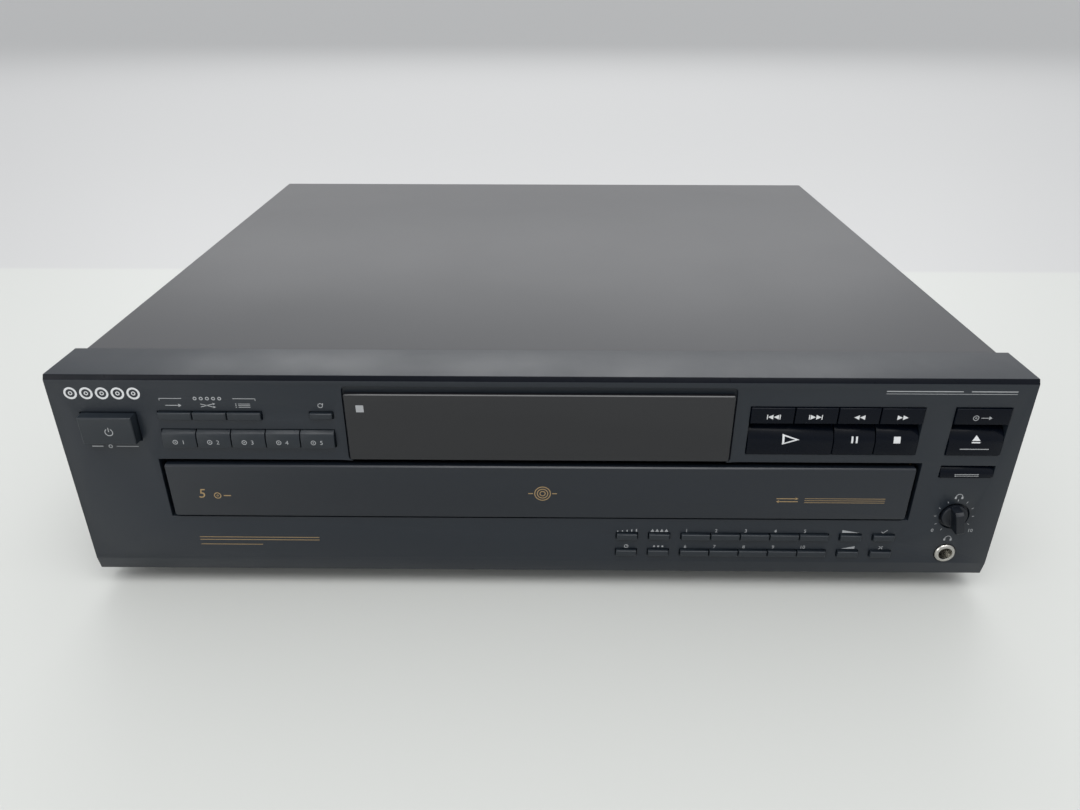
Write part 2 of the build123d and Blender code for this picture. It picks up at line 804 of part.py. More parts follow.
def carousel():
    """Turntable: five disc wells, each open to the rim for the pickup, round hub and gear below."""
    body = round_axis(carousel_radius, rim_level - carousel_top, rim_level)
    body += round_axis(carousel_radius, deck_low, rim_level) - round_axis(carousel_radius - carousel_skirt, 0, rim_level)
    hub = many_sided(0, carousel_y, gear_low + hub_gear_lift, rim_level + hub_rise, hub_radius, well_sides)
    body += chamfer(hub.faces().sort_by(Axis.Z)[-1].edges(), hub_chamfer)
    wells = []
    for number in range(well_count):
        turn = 90 + 360 / well_count * number
        x = well_circle * cos(radians(turn))
        y = carousel_y + well_circle * sin(radians(turn))
        cup = many_sided(x, y, deck_low, rim_level, well_radius + well_rim, well_sides)
        body += cup & round_axis(carousel_radius, 0, rim_level)
        wells.append((x, y, turn))
    for x, y, turn in wells:
        body -= many_sided(x, y, well_level, rim_level + hub_rise + 1, well_radius, well_sides)
        body -= Pos(x, y, 0) * Rot(Z=turn) * pickup_slot()
    body += gear(hub_teeth, gear_module, gear_low + hub_gear_lift, deck_low + 0.5, y=carousel_y)
    return body - disc(0, carousel_y, 0, rim_level + hub_rise + 1, post_radius + running_gap)


def pickup_slot():
    """The way for the spindle and the pickup: round at the well's middle and open to the rim."""
    reach = carousel_radius - well_circle + 5
    middle = many_sided(0, 0, 0, rim_level + 1, slot_radius, small_sides)
    return middle + block(0, reach, -slot_radius, slot_radius, 0, rim_level + 1)


def carousel_pinion():
    """Belt pulley with the small gear that turns the carousel."""
    bearing = degrees_of(idler_x, idler_y - carousel_y)
    hub_phase = (bearing % (360 / hub_teeth)) * hub_teeth / idler_teeth
    turn = bearing + 180 + 180 / idler_teeth + hub_phase
    body = many_sided(idler_x, idler_y, gear_low, gear_low + pulley_thickness, idler_pulley, small_sides)
    low = gear_low + pulley_thickness - 0.1
    body += gear(idler_teeth, gear_module, low, low + gear_thickness, idler_x, idler_y, turn)
    return body - disc(idler_x, idler_y, 0, drawer_top, stud_radius + running_gap)


def carousel_motor():
    """Flat motor under the drawer's corner deck, its pulley, and the belt to the carousel pinion."""
    x, y = carousel_motor_x, carousel_motor_y
    low = gear_low + pulley_thickness + motor_lift
    can = many_sided(x, y, low, drawer_top - deck_thickness, carousel_motor_radius, small_sides)
    can = chamfer(can.faces().sort_by(Axis.Z)[0].edges(), motor_chamfer)
    can += disc(x, y, gear_low - 0.2, low + 0.2, shaft_radius)
    pulley = many_sided(x, y, gear_low, gear_low + pulley_thickness, motor_pulley, post_sides)
    pulley -= disc(x, y, 0, drawer_top, shaft_radius)
    low, high = gear_low + belt_lift, gear_low + pulley_thickness - belt_lift
    return can, pulley, belt(x, y, motor_pulley, idler_x, idler_y, idler_pulley, low, high)


def drawer_pinion():
    """Belt pulley with the gear that drives the drawer's rack."""
    top = drawer_low - pulley_headroom
    body = many_sided(pinion_x, pinion_y, pulley_shelf + slide_gap, top, pinion_pulley, small_sides)
    body += gear(pinion_teeth, rack_module, top - 0.1, drawer_low + rack_width, pinion_x, pinion_y, turn=180.0)
    return body - disc(pinion_x, pinion_y, 0, drawer_top, stud_radius + running_gap)


def loading_motor():
    """Upright motor beside the drawer, its pulley, and the belt to the drawer pinion."""
    x, y = loading_motor_x, loading_motor_y
    top = pulley_shelf - loading_motor_drop
    can = many_sided(x, y, inner_floor, top, loading_motor_radius, small_sides)
    can = chamfer(can.faces().sort_by(Axis.Z)[-1].edges(), motor_chamfer)
    can += disc(x, y, top - 0.2, drawer_low, shaft_radius)
    low, high = pulley_shelf + slide_gap, drawer_low - pulley_headroom
    pulley = many_sided(x, y, low, high, motor_pulley, post_sides)
    pulley -= disc(x, y, 0, drawer_top, shaft_radius)
    return can, pulley, belt(x, y, motor_pulley, pinion_x, pinion_y, pinion_pulley, low + belt_lift, high - belt_lift)


# ---- frame and optical unit
def mechanism_frame():
    """Two arched side rails for the drawer, cross beams, lift posts, pinion stand and clamp bridge."""
    inner, outer = rail_inner, rail_outer
    ledge_low = runner_low - slide_gap - rail_thickness
    rail_top = drawer_top + slide_gap + rail_thickness
    body = None
    for side in (-1, 1):
        x0, x1 = sorted((side * inner, side * outer))
        wall = block(x0, x1, frame_front, frame_back, inner_floor, rail_top)
        wall -= block(
            x0 - 1, x1 + 1, frame_front + leg_length, frame_back - leg_length,
            inner_floor + arch_lift, ledge_low - rail_thickness,
        )
        body = wall if body is None else body + wall
        t0, t1 = sorted((side * (inner - rail_ledge + slide_gap + 0.2), side * (inner + 1)))
        body += block(t0, t1, frame_front, frame_back, ledge_low, ledge_low + rail_thickness)
        body += block(t0, t1, frame_front, frame_back, rail_top - rail_thickness, rail_top)
        f0, f1 = sorted((side * (inner - rail_ledge), side * (outer + frame_flange)))
        body += block(f0, f1, frame_front, frame_back, inner_floor, inner_floor + frame_foot)
        body += block(x0, x1, play_y - bridge_half_depth, play_y + bridge_half_depth, rail_top - 1, bridge_low + 1)
    for y0 in (frame_front, play_y + guide_y - beam_depth / 2):
        body += block(-inner, inner, y0, y0 + beam_depth, inner_floor, inner_floor + frame_foot)
    body += block(
        -outer, outer, play_y - bridge_half_depth, play_y + bridge_half_depth,
        bridge_low, bridge_low + bridge_thickness,
    )
    for edge in (-bridge_half_depth, bridge_half_depth - rib_wall):
        body += block(
            -outer, outer, play_y + edge, play_y + edge + rib_wall,
            bridge_low + bridge_thickness - 1, bridge_low + bridge_thickness + bridge_rib,
        )
    body -= many_sided(0, play_y, bridge_low - 1, cover_top, clamp_neck + 1.0, small_sides)
    for side in (-1, 1):
        x = side * guide_x
        stop = guide_radius + guide_stop
        body += many_sided(x, lift_y, inner_floor, unit_top - unit_skirt - slide_gap, stop, post_sides)
        body += disc(x, lift_y, inner_floor, unit_top + lift_travel, guide_radius)
    half = stand_radius + 2.0
    body += block(
        outer - 1, pinion_x + half, pinion_y - half, pinion_y + half, inner_floor, inner_floor + frame_foot,
    )
    body += many_sided(pinion_x, pinion_y, inner_floor, pulley_shelf, stand_radius, post_sides)
    body += disc(pinion_x, pinion_y, pulley_shelf - 1, drawer_low + rack_width + 0.5, stud_radius)
    return body


def optical_unit():
    """Rising tray with the spindle motor below, two guide rods for the sled, and ears on the lift posts."""
    front = play_y - unit_front
    back = play_y + unit_back
    low = unit_top - unit_skirt
    inside = unit_half - unit_wall
    body = block(-unit_half, unit_half, front, back, low, unit_top)
    body -= block(-inside, inside, front + unit_wall, back - unit_wall, low - 1, unit_top - unit_thickness)
    for side in (-1, 1):
        x0, x1 = sorted((side * (unit_half - 1), side * (unit_half + ear_reach)))
        body += block(x0, x1, lift_y - ear_half, lift_y + ear_half, low, unit_top)
        body -= disc(side * guide_x, lift_y, 0, drawer_low, guide_radius + running_gap)
    way = rod_x + rod_radius + rod_way
    body -= block(-way, way, play_y + spindle_motor_radius + 2, back - rod_end, 0, drawer_low)
    body += many_sided(
        0, play_y, unit_top - spindle_motor_height, unit_top - unit_thickness + 0.5, spindle_motor_radius, small_sides,
    )
    for x in (-rod_x, rod_x):
        body += rod_back(x, unit_top - rod_drop, play_y + spindle_motor_radius, back - rod_end + 1, rod_radius)
    body -= disc(0, play_y, unit_top - spindle_motor_height + 3, drawer_low, spindle_radius + running_gap)
    return body


def disc_spindle():
    """Turntable that carries the playing disc, with its centring cone and shaft."""
    seat_low = seat_top - seat_thickness
    collar_low = seat_top - seat_drop
    body = disc(0, play_y, unit_top - spindle_length, collar_low + 0.5, spindle_radius)
    body += many_sided(0, play_y, collar_low, seat_low + 0.5, collar_radius, post_sides)
    body += many_sided(0, play_y, seat_low, seat_top, seat_radius, small_sides)
    cone = many_sided(0, play_y, seat_top - 0.5, cone_top, cone_radius, post_sides)
    return body + chamfer(cone.faces().sort_by(Axis.Z)[-1].edges(), cone_bevel)


def pickup_sled():
    """Carriage on the two rods with the raised lens head."""
    y = play_y + sled_reach
    half_x = rod_x + sled_side
    top = unit_top - seat_gap
    body = block(-half_x, half_x, y - sled_half, y + sled_half, top - sled_height, top)
    for x in (-rod_x, rod_x):
        body -= rod_back(x, unit_top - rod_drop, y - 2 * sled_half, y + 2 * sled_half, rod_radius + running_gap)
    head_top = seat_top - head_drop
    body += block(-head_half, head_half, y - head_half + 1, y + head_half - 1, top - 0.5, head_top)
    return body + many_sided(0, y, head_top - 0.5, head_top + lens_rise, lens_radius, post_sides)


def disc_clamp():
    """Clamp that hangs in the bridge by its upper flange and takes the spindle's cone below."""
    low = bridge_low - clamp_drop
    rest = bridge_low + bridge_thickness + slide_gap
    body = many_sided(0, play_y, low, low + clamp_lip, clamp_radius, small_sides)
    body += many_sided(0, play_y, low + clamp_lip / 2, rest + 0.5, clamp_neck, small_sides)
    body += many_sided(0, play_y, rest, rest + clamp_cap - slide_gap, clamp_radius, small_sides)
    return body - many_sided(0, play_y, low - 1, low + clamp_cup, cone_radius + 1, post_sides)


# ---- electronics
def circuit_boards(key_places):
    """Main board with its tall parts, three upright key boards with their switches, and the display tube."""
    return main_board(), *key_boards(key_places), display_tube()


def main_board():
    """The board on the floor: standoffs, capacitors, chips and the finned heat sink."""
    low = inner_floor + standoff_height
    left, right = main_board_left, main_board_left + main_board_width
    front, back = main_board_front, main_board_back
    board = block(left, right, front, back, low, low + board_thickness)
    for x in (left + standoff_inset, right - standoff_inset):
        for y in (front + standoff_inset, back - standoff_inset):
            board += block(x - 3, x + 3, y - 3, y + 3, inner_floor, low + 0.5)
    surface = low + board_thickness - 0.2
    for x, y, radius, height in capacitors:
        board += many_sided(left + x, front + y, surface, surface + height, radius, post_sides)
    for x, y, width, depth in chips:
        board += block(left + x, left + x + width, front + y, front + y + depth, surface, surface + chip_height)
    x, y = left + sink_place[0], front + sink_place[1]
    board += block(x, x + sink_size[0], y, y + sink_size[1], surface, surface + sink_size[2])
    for number in range(fin_count):
        fin = x + 2 + number * fin_pitch
        board += block(fin, fin + fin_wall, y + 1, y + 1 + fin_depth, surface, surface + sink_size[2])
    return board


def key_boards(key_places):
    """Boards above, beside and below the drawer's opening. Each switch sits behind the middle of its key."""
    inner = panel_right - panel_shell - 2
    side = slot_half + slot_board_gap + 1
    upper_low = slot_high + slot_board_gap
    areas = [
        (-inner, inner, upper_low, panel_face_height - 2),
        (side, inner, jack_clear_z, upper_low - board_gap),
        (lower_board_left, side - board_gap, lower_board_low, slot_low - slot_board_gap),
    ]
    boards = []
    half = switch_size / 2
    for x0, x1, z0, z1 in areas:
        board = slab(x0, x1, z0, z1, board_y, board_y + board_thickness)
        for x, z in key_places:
            if x0 < x < x1 and z0 < z < z1:
                board += block(x - half, x + half, switch_y, board_y + 0.2, max(z - half, z0), min(z + half, z1))
        boards.append(board)
    boards[1] += many_sided_back(knob_x, knob_z, board_y - pot_depth + slide_gap, board_y + 0.2, pot_body)
    return boards


def many_sided_back(x, z, y0, y1, radius):
    """A many-sided prism that runs from the front to the back."""
    outline = Pos(x, z) * RegularPolygon(radius, post_sides)
    return extrude(Plane.XZ.offset(-y1) * outline, amount=y1 - y0)


def display_tube():
    """The display's glass body behind the smoked pane."""
    half = window_half - tube_inset
    front = panel_wall + tube_gap
    low, high = window_low + tube_low_inset, window_high - tube_top_inset
    return slab(-half, half, low, high, front, board_y - 0.1)


def transformer():
    """Mains transformer: laminated core, wound coil round its middle leg, and mounting frame."""
    x0 = -(cover_width / 2 - 2 * sheet - cover_gap) + core_gap
    x1 = -rail_outer - frame_flange - core_gap
    front = transformer_y - core_depth / 2
    core = block(x0, x1, front, front + core_depth, inner_floor + frame_foot - 1, inner_floor + core_height)
    mount = mount_depth / 2
    core += block(
        x0 - core_overhang, x1 + core_overhang, transformer_y - mount, transformer_y + mount,
        inner_floor, inner_floor + frame_foot,
    )
    coil = block(
        x0 - core_overhang, x1 + core_overhang, transformer_y - coil_depth / 2, transformer_y + coil_depth / 2,
        inner_floor + coil_inset, inner_floor + core_height - coil_inset,
    )
    return core + chamfer(coil.edges().filter_by(Axis.X), coil_corner)


# ---- case
socket_holes = [
    (socket_middle[0] + side * socket_spacing[0] / 2, socket_middle[1] + level * socket_spacing[1] / 2)
    for side in (1, -1) for level in (1, -1)
]


def chassis():
    """Steel pan with turned-up sides and front, stiffening beads, and the rear wall with its holes."""
    x = cover_width / 2 - sheet - cover_gap
    low = panel_shell + floor_lift
    back = rear_wall_y + sheet
    body = block(-x, x, flange_y, back, low, low + sheet)
    for side in (-1, 1):
        x0, x1 = sorted((side * x, side * (x - sheet)))
        body += block(x0, x1, panel_depth + 1, back, low, low + chassis_side_height)
    front = panel_right - panel_shell - 4.5
    body += block(-front, slot_half - 1, flange_y, flange_y + sheet, low, low + chassis_front_height)
    body += block(-x, x, rear_wall_y, back, low, cover_top - sheet - cover_gap)
    vent_left = -(vent_pitch * (vent_count - 1) + vent_width) / 2
    for number in range(vent_count):
        left = vent_left + number * vent_pitch
        for level in vent_levels:
            body -= slab(left, left + vent_width, level, level + vent_height, rear_wall_y - 1, body_depth)
    for place, size in ((socket_middle, socket_plate), (optical_place, optical_size)):
        half_x = size[0] / 2 + seat_gap
        half_z = size[1] / 2 + seat_gap
        body -= slab(
            place[0] - half_x, place[0] + half_x, place[1] - half_z, place[1] + half_z,
            rear_wall_y - 1, body_depth,
        )
    body -= rod_back(gland_place[0], gland_place[1], rear_wall_y - 1, body_depth, gland_body + seat_gap)
    for side in (-1, 1):
        bead = side * bead_x
        body += block(
            bead - bead_width / 2, bead + bead_width / 2, bead_y - bead_length / 2, bead_y + bead_length / 2,
            low + sheet - 0.2, low + sheet + bead_rise,
        )
    return body


def top_cover():
    """Folded steel cover: top, two sides with rolled corners, and a lip over the rear wall."""
    x = cover_width / 2
    front = panel_depth + seat_gap
    low = panel_shell + 2 * floor_lift + seat_gap
    below = low - 2 * cover_corner - 1
    outer = slab(-x, x, below, cover_top, front, body_depth, corner=cover_corner)
    inner = slab(-x + sheet, x - sheet, below - 10, cover_top - sheet, front - 1, body_depth - sheet)
    shell = outer - inner
    shell -= block(-x - 1, x + 1, front - 2, body_depth + 2, below - 20, low)
    open_half = x - sheet - 2
    shell -= block(-open_half, open_half, body_depth - 3 * sheet, body_depth + 1, low - 1, cover_top - rear_lip)
    return shell


def rear_sockets():
    """A block with the metal barrels of four pin sockets, the optical output and the mains cord's gland."""
    face = rear_wall_y + sheet + socket_proud
    tip = body_depth + socket_reach
    half_x, half_z = socket_plate[0] / 2, socket_plate[1] / 2
    mx, mz = socket_middle
    holder = slab(mx - half_x, mx + half_x, mz - half_z, mz + half_z, rear_wall_y - 9, face - seat_gap)
    barrels = []
    for px, pz in socket_holes:
        barrel = rod_back(px, pz, face, tip, barrel_radius)
        barrels.append(barrel - rod_back(px, pz, tip - socket_bore_depth, tip + 1, socket_bore))
    mx, mz = optical_place
    half_x, half_z = optical_size[0] / 2, optical_size[1] / 2
    light = slab(mx - half_x, mx + half_x, mz - half_z, mz + half_z, rear_wall_y - 12, body_depth + 1.5)
    light -= slab(mx - 3, mx + 3, mz - 3, mz + 2.4, body_depth - 6, body_depth + 3)
    px, pz = gland_place
    gland = rod_back(px, pz, rear_wall_y - 4, body_depth + gland_reach, gland_body)
    outer_face = rear_wall_y + sheet + seat_gap
    gland += many_sided_back(px, pz, outer_face, outer_face + 2.0, gland_flange)
    gland -= rod_back(px, pz, rear_wall_y - 6, body_depth + gland_reach + 1, gland_bore)
    return holder, *barrels, light, gland


def feet():
    """Four round feet under the chassis, each stepped in where it meets the ground."""
    top = panel_shell + floor_lift
    x = panel_width / 2 - foot_inset_x
    made = []
    for px in (-x, x):
        for py in (foot_front, foot_back):
            foot = many_sided(px, py, foot_step - foot_clearance, top, foot_radius, post_sides)
            foot += many_sided(px, py, -foot_clearance, foot_step - foot_clearance + 1, foot_radius - 1, post_sides)
            made.append(foot)
    return made


save("front_panel", front_panel())
save("display_window", display_window())
switch_places = make_keys()
save("level_knob", level_knob())
save("phone_jack", phone_jack())
save("drawer", drawer())
save("drawer_front", drawer_front())
save("carousel", carousel())
save("carousel_pinion", carousel_pinion())
save("carousel_motor", *carousel_motor())
save("drawer_pinion", drawer_pinion())
save("loading_motor", *loading_motor())
save("mechanism_frame", mechanism_frame())
save("optical_unit", optical_unit())
save("disc_spindle", disc_spindle())
save("pickup_sled", pickup_sled())
save("disc_clamp", disc_clamp())
save("circuit_boards", *circuit_boards(switch_places))
save("transformer", transformer())
save("chassis", chassis())
save("top_cover", top_cover())
save("rear_sockets", *rear_sockets())
save("feet", *feet())
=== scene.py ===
import json
import math

import bmesh
import bpy
import numpy as np
from mathutils import Matrix, Vector


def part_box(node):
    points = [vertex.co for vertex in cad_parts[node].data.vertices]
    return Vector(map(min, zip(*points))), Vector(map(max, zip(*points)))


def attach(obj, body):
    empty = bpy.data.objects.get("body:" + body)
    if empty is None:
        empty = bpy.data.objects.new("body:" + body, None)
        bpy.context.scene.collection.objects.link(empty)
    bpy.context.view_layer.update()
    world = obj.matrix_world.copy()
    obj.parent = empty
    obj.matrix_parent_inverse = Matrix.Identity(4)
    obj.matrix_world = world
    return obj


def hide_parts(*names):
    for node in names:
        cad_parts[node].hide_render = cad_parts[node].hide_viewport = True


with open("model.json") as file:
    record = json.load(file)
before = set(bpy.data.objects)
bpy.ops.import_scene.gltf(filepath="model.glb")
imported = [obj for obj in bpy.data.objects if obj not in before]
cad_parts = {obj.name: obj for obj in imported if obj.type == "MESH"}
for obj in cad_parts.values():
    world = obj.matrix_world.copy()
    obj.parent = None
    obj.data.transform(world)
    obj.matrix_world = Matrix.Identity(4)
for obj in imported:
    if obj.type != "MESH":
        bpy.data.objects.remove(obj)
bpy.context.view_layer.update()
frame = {"nodes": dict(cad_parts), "record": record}
print("frame loaded:", len(frame["nodes"]), "nodes")

mm = 0.001
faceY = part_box("front_panel")[0].y        # the flat front of the panel
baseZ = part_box("front_panel")[0].z        # the panel's lower edge
bodies = frame["record"]["behaviour"]["bodies"]
bodyOf = {node: body for body, nodes in bodies.items() for node in nodes}


def place(points):
    # panel millimetres (x right, depth back from the face, z up from the lower edge) to metres:
    # a thousandth of each, plus the face's y and the lower edge's z
    out = np.array(points, float).reshape(-1, 3) * mm
    out[:, 1] += faceY
    out[:, 2] += baseZ
    return out


def boxOf(node):
    # a CAD node's two corners, taken back from metres to panel millimetres
    low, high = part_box(node)
    shift = Vector((0, faceY, baseZ))
    return (low - shift) / mm, (high - shift) / mm


# colour and its spread, roughness and its spread, size of the grain in cycles per metre and its
# depth in millimetres, size of the slow mottle
surfaceSettings = {
    "panelPlastic": dict(colour=(0.0080, 0.0118, 0.0175), spread=0.10, rough=0.42,
                         roughSpread=0.05, grain=2600, grainDepth=0.05, mottle=9, specular=0.42),
    "doorPlastic": dict(colour=(0.0080, 0.0110, 0.0160), spread=0.08, rough=0.34,
                        roughSpread=0.05, grain=2600, grainDepth=0.04, mottle=11, specular=0.42),
    "keyPlastic": dict(colour=(0.0095, 0.0135, 0.0185), spread=0.10, rough=0.40,
                       roughSpread=0.05, grain=3000, grainDepth=0.04, mottle=40, specular=0.42),
    # painted shade: near-black, laid on the panel's top lip and the sunk strip above the pane,
    # where the edge and the recess fall into shade
    "paintedShadePlastic": dict(colour=(0.0022, 0.0032, 0.0062), spread=0.10, rough=0.30,
                          roughSpread=0.05, grain=3000, grainDepth=0.02, mottle=30,
                          specular=0.10),
    "glossKey": dict(colour=(0.0018, 0.0030, 0.0062), spread=0.10, rough=0.26,
                     roughSpread=0.05, grain=3000, grainDepth=0.015, mottle=60, specular=0.11),
    "knobPlastic": dict(colour=(0.0060, 0.0080, 0.0120), spread=0.10, rough=0.40,
                        roughSpread=0.06, grain=3000, grainDepth=0.04, mottle=80, specular=0.3),
    "coverPaint": dict(colour=(0.056, 0.057, 0.061), spread=0.03, rough=0.50,
                       roughSpread=0.012, grain=1500, grainDepth=0.05, mottle=5, specular=0.36),
    "chassisPaint": dict(colour=(0.050, 0.051, 0.053), spread=0.08, rough=0.42,
                         roughSpread=0.08, grain=1500, grainDepth=0.05, mottle=12),
    "windowPane": dict(colour=(0.0075, 0.0080, 0.0100), spread=0.08, rough=0.085,
                       roughSpread=0.03, grain=300, grainDepth=0.004, mottle=14),
    "footPlastic": dict(colour=(0.020, 0.020, 0.021), spread=0.12, rough=0.62,
                        roughSpread=0.08, grain=1800, grainDepth=0.08, mottle=60),
    "framePlastic": dict(colour=(0.055, 0.055, 0.058), spread=0.10, rough=0.50,
                         roughSpread=0.08, grain=1600, grainDepth=0.06, mottle=20),
    "trayPlastic": dict(colour=(0.030, 0.031, 0.034), spread=0.10, rough=0.45,
                        roughSpread=0.08, grain=1700, grainDepth=0.07, mottle=16),
    "carouselPlastic": dict(colour=(0.036, 0.037, 0.041), spread=0.10, rough=0.42,
                            roughSpread=0.08, grain=2200, grainDepth=0.06, mottle=14),
    "gearPlastic": dict(colour=(0.72, 0.71, 0.66), spread=0.05, rough=0.42,
                        roughSpread=0.05, grain=1200, grainDepth=0.03, mottle=60),
    "motorMetal": dict(colour=(0.46, 0.46, 0.47), spread=0.08, rough=0.34,
                       roughSpread=0.10, grain=900, grainDepth=0.03, mottle=50, metallic=1.0),
    "sledMetal": dict(colour=(0.42, 0.42, 0.44), spread=0.08, rough=0.46,
                      roughSpread=0.10, grain=1400, grainDepth=0.06, mottle=60, metallic=1.0),
    "boardLaminate": dict(colour=(0.30, 0.19, 0.075), spread=0.14, rough=0.46,
                          roughSpread=0.10, grain=700, grainDepth=0.03, mottle=40),
    "transformerIron": dict(colour=(0.12, 0.095, 0.07), spread=0.16, rough=0.48,
                            roughSpread=0.12, grain=1400, grainDepth=0.08, mottle=45),
    "socketPlastic": dict(colour=(0.016, 0.016, 0.017), spread=0.10, rough=0.40,
                          roughSpread=0.06, grain=2000, grainDepth=0.04, mottle=60),
    "brightMetal": dict(colour=(0.46, 0.45, 0.42), spread=0.06, rough=0.24,
                        roughSpread=0.08, grain=900, grainDepth=0.015, mottle=90, metallic=1.0),
    "screwSteel": dict(colour=(0.055, 0.055, 0.058), spread=0.12, rough=0.34,
                       roughSpread=0.08, grain=2500, grainDepth=0.03, mottle=120),
    "whiteInk": dict(colour=(0.30, 0.31, 0.32), spread=0.10, rough=0.50,
                     roughSpread=0.05, grain=4000, grainDepth=0.02, mottle=200),
    "silverInk": dict(colour=(0.58, 0.59, 0.60), spread=0.06, rough=0.32,
                      roughSpread=0.05, grain=4000, grainDepth=0.02, mottle=200),
    "goldInk": dict(colour=(0.27, 0.185, 0.085), spread=0.10, rough=0.40,
                    roughSpread=0.06, grain=4000, grainDepth=0.02, mottle=200),
    "beltRubber": dict(colour=(0.012, 0.012, 0.012), spread=0.10, rough=0.70,
                       roughSpread=0.06, grain=2500, grainDepth=0.04, mottle=90),
    "coilTape": dict(colour=(0.36, 0.20, 0.045), spread=0.12, rough=0.38,
                     roughSpread=0.08, grain=1200, grainDepth=0.04, mottle=60),
    "tubeGlass": dict(colour=(0.035, 0.050, 0.048), spread=0.08, rough=0.10,
                      roughSpread=0.04, grain=400, grainDepth=0.004, mottle=30),
    "lensGlass": dict(colour=(0.020, 0.045, 0.10), spread=0.05, rough=0.05,
                      roughSpread=0.02, grain=500, grainDepth=0.002, mottle=150),
}
noiseSettings = dict(slowDetail=5, slowRough=0.6, hazeTimes=3.1, hazeDetail=6, hazeLow=0.3,
                     hazeHigh=0.7, grainDetail=2, bumpStrength=0.6, specular=0.5)


def makeSurface(name):
    # base colour from slow noise between two tones, colour times 1 minus and 1 plus the spread;
    # roughness from a second noise, its middle minus and plus its spread; bump from fine grain
    s, n = surfaceSettings[name], noiseSettings
    material = bpy.data.materials.new(name)
    material.use_nodes = True
    nodes, links = material.node_tree.nodes, material.node_tree.links
    shader = nodes["Principled BSDF"]
    where = nodes.new("ShaderNodeTexCoord")
    noises = {}
    for kind, scale, detail in (("slow", s["mottle"], n["slowDetail"]),
                                ("haze", s["mottle"] * n["hazeTimes"], n["hazeDetail"]),
                                ("grain", s["grain"], n["grainDetail"])):
        noise = nodes.new("ShaderNodeTexNoise")
        noise.inputs["Scale"].default_value = scale
        noise.inputs["Detail"].default_value = detail
        links.new(where.outputs["Object"], noise.inputs["Vector"])
        noises[kind] = noise
    noises["slow"].inputs["Roughness"].default_value = n["slowRough"]
    tone = nodes.new("ShaderNodeMix")
    tone.data_type = "RGBA"
    for socket, side in (("A", -1), ("B", 1)):
        shade = [c * (1 + side * s["spread"]) for c in s["colour"]]
        tone.inputs[socket].default_value = (*shade, 1)
    links.new(noises["slow"].outputs["Fac"], tone.inputs["Factor"])
    links.new(tone.outputs["Result"], shader.inputs["Base Color"])
    haze = nodes.new("ShaderNodeMapRange")
    haze.inputs["From Min"].default_value = n["hazeLow"]
    haze.inputs["From Max"].default_value = n["hazeHigh"]
    haze.inputs["To Min"].default_value = s["rough"] - s["roughSpread"]
    haze.inputs["To Max"].default_value = s["rough"] + s["roughSpread"]
    links.new(noises["haze"].outputs["Fac"], haze.inputs["Value"])
    links.new(haze.outputs["Result"], shader.inputs["Roughness"])
    bump = nodes.new("ShaderNodeBump")
    bump.inputs["Strength"].default_value = n["bumpStrength"]
    bump.inputs["Distance"].default_value = s["grainDepth"] * mm
    links.new(noises["grain"].outputs["Fac"], bump.inputs["Height"])
    links.new(bump.outputs["Normal"], shader.inputs["Normal"])
    shader.inputs["Metallic"].default_value = s.get("metallic", 0.0)
    shader.inputs["Specular IOR Level"].default_value = s.get("specular", n["specular"])
    return material


surfaces = {name: makeSurface(name) for name in surfaceSettings}
print("surfaces made:", len(surfaces))

nodeFinish = {
    "front_panel": "panelPlastic", "display_window": "windowPane", "top_cover": "coverPaint",
    "chassis": "chassisPaint", "feet": "footPlastic", "mechanism_frame": "framePlastic",
    "loading_motor": "motorMetal", "circuit_boards": "boardLaminate",
    "transformer": "transformerIron", "rear_sockets": "socketPlastic",
    "phone_jack": "brightMetal", "drawer": "trayPlastic", "drawer_front": "doorPlastic",
    "carousel_motor": "motorMetal", "carousel": "carouselPlastic",
    "carousel_pinion": "gearPlastic", "drawer_pinion": "gearPlastic",
    "optical_unit": "framePlastic", "disc_spindle": "gearPlastic", "pickup_sled": "sledMetal",
    "disc_clamp": "gearPlastic", "level_knob": "knobPlastic",
}
glossNames = ["play_key", "pause_key", "stop_key", "previous_key", "next_key", "rewind_key",
              "forward_key", "disc_skip_key", "open_key", "exchange_key"]
for name, node in frame["nodes"].items():
    finish = nodeFinish.get(name, "glossKey" if name in glossNames else "keyPlastic")
    node.data.materials.clear()
    node.data.materials.append(surfaces[finish])

# faces of a node that get another surface: where they lie, in panel millimetres
# most are a second finish of the real part; the panel's lip and the strip above the pane get
# painted shade
facingMost, facingSome = 0.9, 0.2        # least part of a face's normal along an axis
lipSettings = dict(above=100)
stripSettings = dict(near=0.5, far=2.6, above=96, reach=88)
shellSettings = dict(behind=368.8, radius=4.3, across=(128.0, 150.0), up=(62.0, 78.0))
boardSettings = dict(behind=60, above=10.6, sinkX=(-147, -89), sinkY=(175, 220), canAbove=18,
                     canRadius=1.5, cans=[(-127.9, 100.0), (-107.9, 100.0), (-127.9, 130.0),
                                          (-59.9, 200.0)])
tubeSettings = dict(near=17.95, reach=86, above=62)
coilSettings = dict(ends=3.0, above=12)
lensDepth = 0.1
beltSettings = dict(loadingAxis=(192.9, 150.0), loadingAbove=30.2, turningAxis=(-143.0, 28.0),
                    turningBelow=38.2, pulleyRadius=4.15)
sledTop = boxOf("pickup_sled")[1].z
coilLow, coilHigh = boxOf("transformer")
coilMiddle, coilReach = (coilLow.x + coilHigh.x) / 2, (coilHigh.x - coilLow.x) / 2


# painted shade: the lip's slope is coloured near-black for the dark line along the panel's top
# edge
def onLip(spot, way):
    # the slope between the panel's face and its top: the normal leans forwards and up
    return way.y < -facingSome and way.z > facingSome and spot.z > lipSettings["above"]


# painted shade: the strip's forward faces are coloured near-black for the shade in that recess
def inStrip(spot, way):
    # the sunk strip above the pane: faces forwards, within the strip's depth, height and width
    s = stripSettings
    return (way.y < -facingMost and s["near"] < spot.y < s["far"]
            and spot.z > s["above"] and abs(spot.x) < s["reach"])


